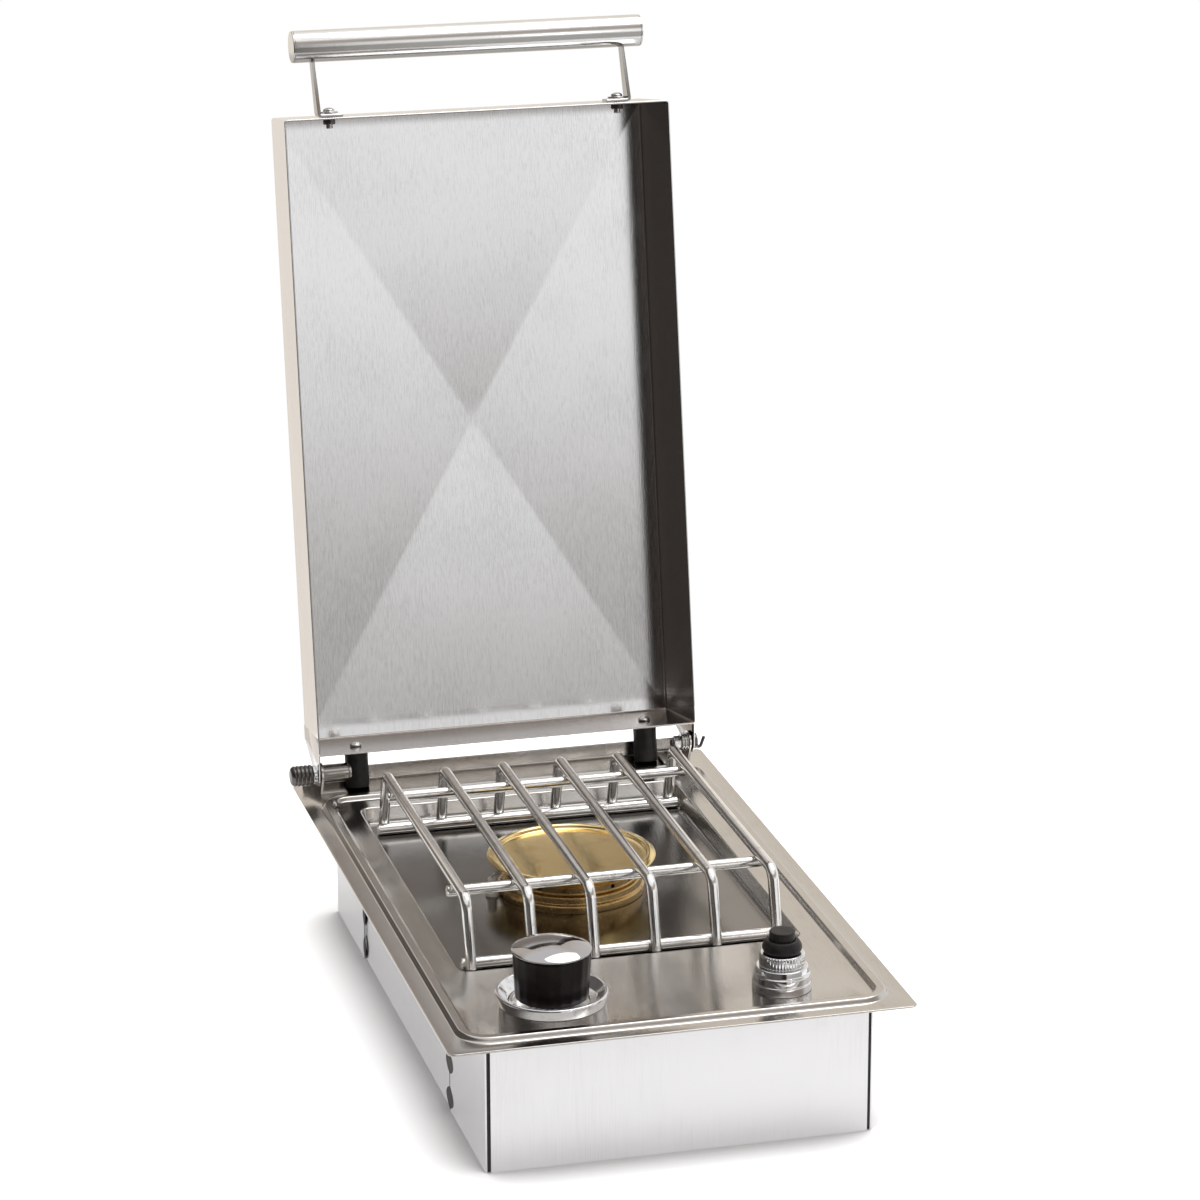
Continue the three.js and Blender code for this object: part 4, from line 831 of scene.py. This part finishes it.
def lidStops(look):
    top, low, radius = look.top, look.low, look.radius
    seat, shank, tip = top + look.seat, look.shank, top - look.shankLength
    for side, sign in (("left", -1), ("right", 1)):
        place = upAt(sign * look.x, look.y)
        stop = turned([(0, low), (radius - 0.2, low, 1.4), (radius, low + look.footHigh, 2),
                       (radius - look.waist, top - look.neckLow, 3), (radius, top, 1.2), (0, top)], 48)
        addLidPiece("lidStop_" + side, moved(stop, place), "stopRubber", "lid_stop_" + side)
        screw = turned([(0, tip), (shank, tip, 0.5), (shank, seat)] + raised(look.head, seat), 40)
        addLidPiece("stopScrew_" + side, moved(screw, place), "screwSteel", "stop_screw_" + side)


lidStops(stopLook)


# a six-sided nut about Z, its corners chamfered
def hexNut(corner, bore, low, high):
    def sixSided(radius, angle):
        if radius < corner * 0.75:
            return radius
        turn = (angle + math.pi / 6) % (math.pi / 3) - math.pi / 6
        return min(radius, corner * math.cos(math.pi / 6) / math.cos(turn))
    face, chamfer = corner * 0.86, 0.7
    return turned([(bore, low), (face, low), (corner, low + chamfer), (corner, high - chamfer),
                   (face, high), (bore, high)], 72, True, 0.05, sixSided)


# tube handle on two bolted straps
handleLook = Look(
    y=15.5, z=557.2, radius=12.2, wall=2, half=137, cap=1.5, capSink=0.15, capDeep=9,
    strapX=121.5, strapThick=2.5, strapWidth=14, strapTip=8, strapGap=0.5, strapLap=4,
    footLength=19.5, footY=2.5, footBend=(3.6, 1.4), gap=0.3,
    boltX=113, boltRadius=2.5, boltBelow=8.5,
    head=[(7, 0, 0.3), (7, 1.3, 0.4), (4.4, 1.3), (4.4, 2.9, 1.0), (2.2, 4.25, 1.2), (0, 4.3)],
    nutCorner=4.9, nutHigh=3.8, nutGap=0.1,
)


def handle(look, lidTop):
    radius, half, cap = look.radius, look.half, look.cap
    inside = radius - look.wall
    tube = turned([(inside, cap - half), (radius, cap - half, 0.25), (radius, half - cap, 0.25),
                   (inside, half - cap)], 96)
    addLidPiece("handleTube", moved(tube, alongX(0, look.y, look.z)), "handleSteel", "handle_tube")
    thick, wide, foot, seat = look.strapThick, look.strapWidth, look.footY, lidTop + look.gap
    edge = look.strapX + thick / 2
    shoulder = look.z - radius - look.strapGap
    for side, sign in (("left", -1), ("right", 1)):
        lap = half - cap + look.capSink
        face = turned([(0, half), (radius - 2.6, half), (radius - 0.25, half, 0.5),
                       (radius - 0.1, lap, 0.2), (inside, lap), (inside, half - look.capDeep, 0.5),
                       (0, half - look.capDeep)], 96)
        face = moved(face, alongX(0, look.y, look.z, sign))
        addLidPiece("handleEnd_" + side, face, "handleSteel", "handle_cap_" + side)

        # the strap in the X, Z plane: foot, bend and leg, drawn as one sheet that leans back up to the tube
        outer, inner = look.footBend
        profile = [(edge - look.footLength, seat), (edge, seat, outer), (edge, shoulder + look.strapLap),
                   (edge - thick, shoulder + look.strapLap), (edge - thick, seat + thick, inner),
                   (edge - look.footLength, seat + thick)]
        flat = softened(profile, True, 6)
        sheet = bar([(p.x, p.y) for p in flat], -wide / 2, wide / 2, "y", 0.3)
        points = []
        for p in sheet[0]:
            climb = min(1, max(0, (p.z - seat - thick) / (shoulder - seat - thick)))
            taper = 1 if p.z < shoulder else look.strapTip / wide
            points.append(Vector((sign * p.x, foot + (look.y - foot) * climb + p.y * taper, p.z)))
        addLidPiece("handleStrap_" + side, (points, sheet[1]), "handleSteel", "handle_strap_" + side)

        place = upAt(sign * look.boltX, foot)
        top, tip, shank = seat + thick + look.gap, lidTop - look.boltBelow, look.boltRadius
        bolt = turned([(0, tip), (shank, tip, 0.6), (shank, top)] + raised(look.head, top), 48)
        addLidPiece("handleBolt_" + side, moved(bolt, place), "screwSteel", "handle_bolt_" + side)
        nutTop = lidTop - lidLook.sheet - look.gap
        nut = hexNut(look.nutCorner, shank + look.nutGap, nutTop - look.nutHigh, nutTop)
        addLidPiece("handleNut_" + side, moved(nut, place), "darkSteel", "handle_nut_" + side)


handle(handleLook, lidLook.top)
print("side burner: lid, stops and handle made")

# hinge: brackets, pins, ridged cap, washers, spacer and nut
hingeLook = Look(
    pin=2.9, pinHead=6, pinHeadLong=(2, 3), gap=0.2, bracketEdge=0.3,
    cap=8, capEnds=(2, 2.6), ridges=4, ridgeDepth=0.8,
    washers=3, washerSink=1.1, hook=1.3, hookBend=1.8, hookReach=7.8,
    hookRoute=((-1.5, 0), (2.5, -8), (6.5, 3)),        # beyond the pin's head, and up or down
)


def hinge(look, pivot):
    axisLeft = alongX(0, pivot.y, pivot.z, -1)
    axisRight = alongX(0, pivot.y, pivot.z)
    pinRadius, headRadius, wide = look.pin, look.pinHead, look.cap
    bore = pinRadius + look.gap
    for side in ("left", "right"):
        brokenEdges("hinge_bracket_" + side, "plateSteel", look.bracketEdge)

    def addHingePiece(name, shape, axis, finish, node):
        addPiece(name, moved(shape, axis), finish, "base", node)

    low, high = nodeSpan("hinge_cap_left")
    start, end = -high.x, -low.x
    near, far = look.capEnds
    pitch = (end - start - near - far) / look.ridges
    profile = [(bore, start), (6.9, start, 0.6), (wide, start + 1.2, 0.5)]
    for k in range(look.ridges):
        foot = start + near + k * pitch
        profile += [(wide, foot + pitch * 0.25, 0.3), (wide - look.ridgeDepth, foot + pitch * 0.5, 0.3),
                    (wide, foot + pitch * 0.75, 0.3)]
    profile += [(wide, end - far, 1.0), (6.6, end - 0.6, 0.8), (5.2, end, 0.4), (0, end)]
    addHingePiece("hingeCap_left", turned(profile, 80), axisLeft, "darkSteel", "hinge_cap_left")

    rings = (("hingeWasher_left", "hinge_washer_left", "chrome", (0.5, 0.5)),
             ("hingeSpacer_left", "hinge_spacer_left", "spacerSteel", (0.6, 0.8)))
    for name, node, finish, rounding in rings:
        low, high = nodeSpan(node)
        start, end, wide = -high.x, -low.x, (high.z - low.z) / 2
        ring = turned([(bore, start), (wide, start, rounding[0]), (wide, end, rounding[1]), (bore, end)],
                      64, True, 0.05)
        addHingePiece(name, ring, axisLeft, finish, node)

    headLeft, headRight = look.pinHeadLong
    low, high = nodeSpan("hinge_pin_left")
    start, end = -high.x, -low.x
    pin = turned([(0, start), (headRadius, start, 0.4), (headRadius, start + headLeft, 0.5),
                  (pinRadius, start + headLeft), (pinRadius, end, 0.4), (0, end)], 48)
    addHingePiece("hingePin_left", pin, axisLeft, "screwSteel", "hinge_pin_left")

    low, high = nodeSpan("hinge_washers_right")
    groove, wide = (high.x - low.x) / (2 * look.washers - 1), (high.z - low.z) / 2
    profile = [(bore, low.x)]
    for k in range(look.washers):
        near = low.x + 2 * k * groove
        profile += [(wide, near, 0.35), (wide, near + groove, 0.35)]
        if k < look.washers - 1:
            waist = wide - look.washerSink
            profile += [(waist, near + groove), (waist, near + 2 * groove)]
    profile.append((bore, high.x))
    addHingePiece("hingeWashers_right", turned(profile, 64, True, 0.05), axisRight, "screwSteel",
                  "hinge_washers_right")
    low, high = nodeSpan("hinge_nut_right")
    nut = hexNut((high.y - low.y) / 2, bore, low.x, high.x)
    addHingePiece("hingeNut_right", nut, axisRight, "chrome", "hinge_nut_right")

    low, high = nodeSpan("hinge_pin_right")
    head = high.x - look.hookReach
    pin = turned([(0, low.x), (pinRadius, low.x, 0.5), (pinRadius, head - headRight),
                  (headRadius, head - headRight, 0.4), (headRadius, head, 0.7), (0, head)], 48)
    route = [(head + out, pivot.y, pivot.z + rise) for out, rise in look.hookRoute]
    hook = rod(bentRoute(route, look.hookBend), look.hook, 20)
    addPiece("hingePin_right", joined(moved(pin, axisRight), hook), "darkSteel", "base", "hinge_pin_right")


hinge(hingeLook, pivotLook)
print("side burner: hinge made")

# grate: six bent rods over two high and two low crossbars
grateLook = Look(
    radius=4, pitch=45, count=6, shift=2, frontFoot=-106, rearFoot=188, footZ=85.2,
    frontTop=-92, rearTop=174, topZ=133.2, bend=11, rodEdge=0.7,
    barStart=-116.5, barEnd=120.5, barEdge=0.8,
    bars=((-56, 126), (144, 126), (-98.8, 87.3), (180.8, 87.3)),        # Y and Z
)


def grate(look):
    radius = look.radius

    def bentRod(k):
        x = look.shift + (k - (look.count - 1) / 2) * look.pitch
        corners = [(x, look.frontFoot, look.footZ), (x, look.frontTop, look.topZ),
                   (x, look.rearTop, look.topZ), (x, look.rearFoot, look.footZ)]
        return rod(bentRoute(corners, look.bend, 12), radius, 32, look.rodEdge)
    bars = [rod([(look.barStart, y, z), (look.barEnd, y, z)], radius, 32, look.barEdge)
            for y, z in look.bars]
    frameShape = joined(bentRod(0), bentRod(look.count - 1), *bars)
    addPiece("grateFrame", frameShape, "rodSteel", "grate", "grate_frame")
    for k in range(1, look.count - 1):
        addPiece("grateRod_%d" % k, bentRod(k), "rodSteel", "grate", "grate_rod_%d" % k)


grate(grateLook)
print("side burner: grate bent")

# burner: brass head with ports, and a dished cap with a rolled lip
# (each profile: radius, height and rounding)
burnerLook = Look(
    x=-1.5, y=36, facets=192, crown=48.5, ports=16, portBand=(14.2, 16.8), portDeep=3.2,
    head=[(13.2, 0), (54.5, 0, 0.8), (54.5, 5.2, 1.0), (52, 6.5, 0.6), (52, 11.3, 1.2), (49.1, 12.4, 0.6),
          (48.5, 13.4, 0.6), (48.5, 14.2, 0), (48.5, 16.8, 0), (48.5, 19, 0.4), (44.5, 19, 0.4),
          (44.5, 3), (13.2, 3)],
    capSeat=19,
    cap=[(0, 0), (41.7, 0), (41.7, -2.5, 0.4), (44.1, -2.5, 0.4), (44.1, 0), (53, 0, 1.2), (61.1, 6.2, 1.2),
         (62.5, 7.4, 0.7), (61.8, 8.2, 0.7), (58.6, 9.3, 0.8), (57.3, 9.5, 0.5), (56.3, 8.8, 0.5),
         (55.2, 6.6, 1.0), (53, 6.2, 1.2), (0, 6.5)],
)


def burnerPieces(look, base):
    place = upAt(look.x, look.y)
    facets = look.facets
    head = turned(raised(look.head, base), facets, True, 0.2)
    points, faces = [Vector(p) for p in head[0]], list(head[1])
    # each port is two facets of the crown's band, pushed in
    low, high = (base + height for height in look.portBand)
    sides = []
    for index, face in enumerate(faces):
        corners = [points[k] for k in face]
        heights = sorted(p.z for p in corners)
        middle = sum(corners, Vector()) / len(corners)
        if heights[0] < low - 0.1 or heights[-1] > high + 0.1 or heights[-1] - heights[0] < 2:
            continue
        facet = round(math.atan2(middle.y, middle.x) / (2 * math.pi) * facets - 0.5) % facets
        if middle.xy.length < look.crown - 0.6 or facet % (facets // look.ports) not in (0, 1):
            continue
        inward = Vector((middle.x, middle.y, 0)).normalized() * -look.portDeep
        start = len(points)
        points += [p + inward for p in corners]
        faces[index] = tuple(start + k for k in range(len(corners)))
        for k in range(len(corners)):
            n = (k + 1) % len(corners)
            sides.append((face[k], face[n], start + n, start + k))
    ported = moved((points, faces + sides), place)
    addPiece("burnerHead", ported, "burnerBrass", "base", "burner_head", sharp=50)
    cap = turned(raised(look.cap, base + look.capSeat), facets)
    addPiece("burnerCap", moved(cap, place), "brass", "burner_cap", "burner_cap", sharp=60)


burnerPieces(burnerLook, plateLook.well.floor)
print("side burner: burner turned")

# knob, its bright cap and its dished bezel
knobLook = Look(
    flutes=20, fluteDepth=0.3, fluteFrom=24.5,
    inside=[(0, 22), (4.1, 22), (4.1, 0, 0.3), (9, 0, 0.4), (9, 5), (20, 5), (20, 0, 0.4), (25.5, 0, 1.2)],
    shoulder=[(27.3, -1.2, 0.8), (26.6, 0, 0.4), (0, 0)], dome=60, domeSteps=24,
    bezelHole=26.5, bezelFloor=(1.6, 1.2, 0.9), bezelDish=31,
)


def knob(look):
    low, high = nodeSpan("knob_body")
    capLow, capHigh = nodeSpan("knob_cap")
    place = nodeAxis("knob_body")
    seat = high.z

    def fluteRipple(radius, angle):
        if radius < look.fluteFrom:
            return radius
        return radius - look.fluteDepth * abs(math.sin(angle * look.flutes / 2)) ** 1.5
    body = turned(raised(look.inside, low.z) + raised(look.shoulder, seat), 240, ripple=fluteRipple)
    addPiece("knobBody", moved(body, place), "knobBlack", "knob", "knob_body", sharp=50)

    wide, dome, steps = (capHigh.x - capLow.x) / 2, look.dome, look.domeSteps
    lean = math.asin((wide - 0.3) / dome)
    domeBase = capHigh.z - dome
    edge = domeBase + dome * math.cos(lean)
    profile = [(0, seat), (wide - 0.4, seat, 0.2), (wide, seat + 0.5, 0.3), (wide, edge - 0.3, 0.3)]
    for k in range(steps + 1):
        angle = lean * (1 - k / steps)
        profile.append((dome * math.sin(angle), domeBase + dome * math.cos(angle)))
    cap = moved(turned(profile, 128, soft=0), place)
    # the cap takes the darker chrome copy, a painted dark reflection
    addPiece("knobCap", cap, "smokedChrome", "knob", "knob_cap", sharp=60)

    low, high = nodeSpan("knob_bezel")
    wide, plate, top, hole = (high.x - low.x) / 2, low.z, high.z, look.bezelHole
    dish, floor, brim = (plate + lift for lift in look.bezelFloor)
    bezel = turned([(hole, plate), (wide - 2, plate, 0.3), (wide, top - 1.2, 0.8), (wide - 0.9, top, 0.6),
                    (wide - 2.4, top - 0.3, 0.7), (look.bezelDish, dish, 2.0), (hole + 0.6, floor, 0.4),
                    (hole, brim)], 160, True, 0.1)
    addPiece("knobBezel", moved(bezel, place), "chrome", "base", "knob_bezel", sharp=60)


knob(knobLook)

# igniter: stepped base, knurled ring, collar, button and, in the well, its electrode
igniterLook = Look(
    bore=11, brim=(18.2, 0.8),
    base=[(20.75, 0, 0.4), (20.75, 5.6, 0.8), (20.0, 6.4, 0.4), (20.1, 11.4, 0.9), (18.9, 12.6, 0.9)],
    ring=16, ringChamfer=(1, 1.1), knurls=44, knurlDepth=0.45, knurlFrom=15.2,
    collarBore=9.3, collarFoot=12.2, collar=13.85, collarShares=(0.28, 0.55), collarTop=11,
    stem=5, head=9, headRoom=5.3,        # headRoom: the head stays clear of the ring when it is pushed
    wireHole=1.0, ceramic=3.5, ceramicTip=3.4, shoulder=5, shoulderHigh=3,
)


def igniter(look, wellFloor):
    place = nodeAxis("igniter_base")
    bore = look.bore
    low, high = nodeSpan("igniter_base")
    brim, brimSoft = look.brim
    base = turned([(bore, low.z)] + raised(look.base, low.z) + [(brim, high.z, brimSoft), (bore, high.z)],
                  128, True, 0.1)
    addPiece("igniterBase", moved(base, place), "chrome", "base", "igniter_base", sharp=60)

    def knurlRipple(radius, angle):
        if radius < look.knurlFrom:
            return radius
        return radius - look.knurlDepth * (0.5 - 0.5 * math.cos(angle * look.knurls))
    low, high = nodeSpan("igniter_ring")
    headLow = high.z + look.headRoom
    wide, (inset, chamfer) = look.ring, look.ringChamfer
    ring = turned([(bore, low.z), (wide - inset, low.z, 0.4), (wide, low.z + chamfer, 0.5),
                   (wide, high.z - chamfer, 0.5), (wide - inset, high.z, 0.4), (bore, high.z)],
                  264, True, 0.1, knurlRipple)
    addPiece("igniterRing", moved(ring, place), "chrome", "base", "igniter_ring", sharp=60)

    low, high = nodeSpan("igniter_collar")
    hole, foot, wide = look.collarBore, look.collarFoot, look.collar
    waist, chest = (low.z + (high.z - low.z) * share for share in look.collarShares)
    collar = turned([(hole, low.z), (foot, low.z, 0.4), (wide, waist, 1.2), (wide, chest, 1.2),
                     (foot, high.z - 1.2, 0.8), (look.collarTop, high.z, 0.6), (hole, high.z, 0.3)],
                    96, True, 0.1)
    addPiece("igniterCollar", moved(collar, place), "buttonBlack", "base", "igniter_collar", sharp=60)

    low, high = nodeSpan("igniter_button")
    stem, wide = look.stem, look.head
    button = turned([(0, low.z), (stem, low.z, 0.3), (stem, headLow), (wide, headLow, 0.3),
                     (wide, high.z, 0.9), (stem, high.z, 0.5), (0, high.z)], 80)
    addPiece("igniterButton", moved(button, place), "buttonBlack", "igniter_push_button", "igniter_button",
             sharp=60)

    low, high = nodeSpan("electrode_ceramic")
    hole, wide, shoulder = look.wireHole, look.ceramic, look.shoulder
    top = wellFloor + look.shoulderHigh
    ceramic = turned([(hole, low.z), (wide, low.z, 0.4), (wide, wellFloor), (shoulder, wellFloor, 0.2),
                      (shoulder, top, 0.8), (wide, top + 0.2, 0.4), (look.ceramicTip, high.z, 1.2),
                      (hole, high.z)], 48, True, 0.1)
    addPiece("electrodeCeramic", moved(ceramic, nodeAxis("electrode_ceramic")), "porcelain", "base",
             "electrode_ceramic", sharp=60)


igniter(igniterLook, plateLook.well.floor)
print("side burner: knob and igniter made")

# gas inlet at the rear: hexagon and thread
inletLook = Look(
    rear=240, hexLong=8, hexCorner=11, bore=2.5, thread=8, threadPitch=1.8,
    threadDepth=0.8, threadEnds=(0.6, 0.9), relief=7.2, nose=6.8, lap=1,
)


def gasInlet(look):
    low, high = nodeSpan("gas_inlet")
    rear, bore, wide, pitch = look.rear, look.bore, look.thread, look.threadPitch
    root = wide - look.threadDepth
    first, last = look.threadEnds
    hexEnd, end = rear + look.hexLong, high.y
    profile = [(bore, hexEnd), (look.relief, hexEnd)]
    for k in range(int((end - hexEnd - first - last) / pitch)):
        y = hexEnd + first + k * pitch
        profile += [(root, y), (wide, y + pitch / 2, 0.2)]
    profile += [(root, end - first), (look.nose, end, 0.2), (bore, end)]
    thread = turned(profile, 64, True, 0)
    inner = turned([(0, low.y), (wide, low.y, 0.5), (wide, rear + look.lap), (0, rear + look.lap)], 48)
    nut = hexNut(look.hexCorner, bore, rear, hexEnd)
    axis = alongY((low.x + high.x) / 2, 0, (low.z + high.z) / 2)
    shape = joined(moved(thread, axis), moved(nut, axis), moved(inner, axis))
    addPiece("gasInlet", shape, "brass", "base", "gas_inlet")


gasInlet(inletLook)

# the pieces whose CAD shape is right keep it and get their finish
keptLook = {
    "screwSteel": ("mixing_tube", "air_shutter", "mixing_tube_bracket", "valve_stem", "valve_bracket",
                   "electrode_wire"),
    "brass": ("valve_plug", "valve_body", "inlet_pipe", "orifice_fitting", "supply_tube"),
    "stopRubber": ("piezo_body", "ignition_lead"),
}
for finish, nodes in keptLook.items():
    for node in nodes:
        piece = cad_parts[node]
        if not piece.material_slots:
            piece.data.materials.append(finishes[finish])
        for slot in piece.material_slots:
            slot.material = finishes[finish]
print("side burner: kept pieces finished")
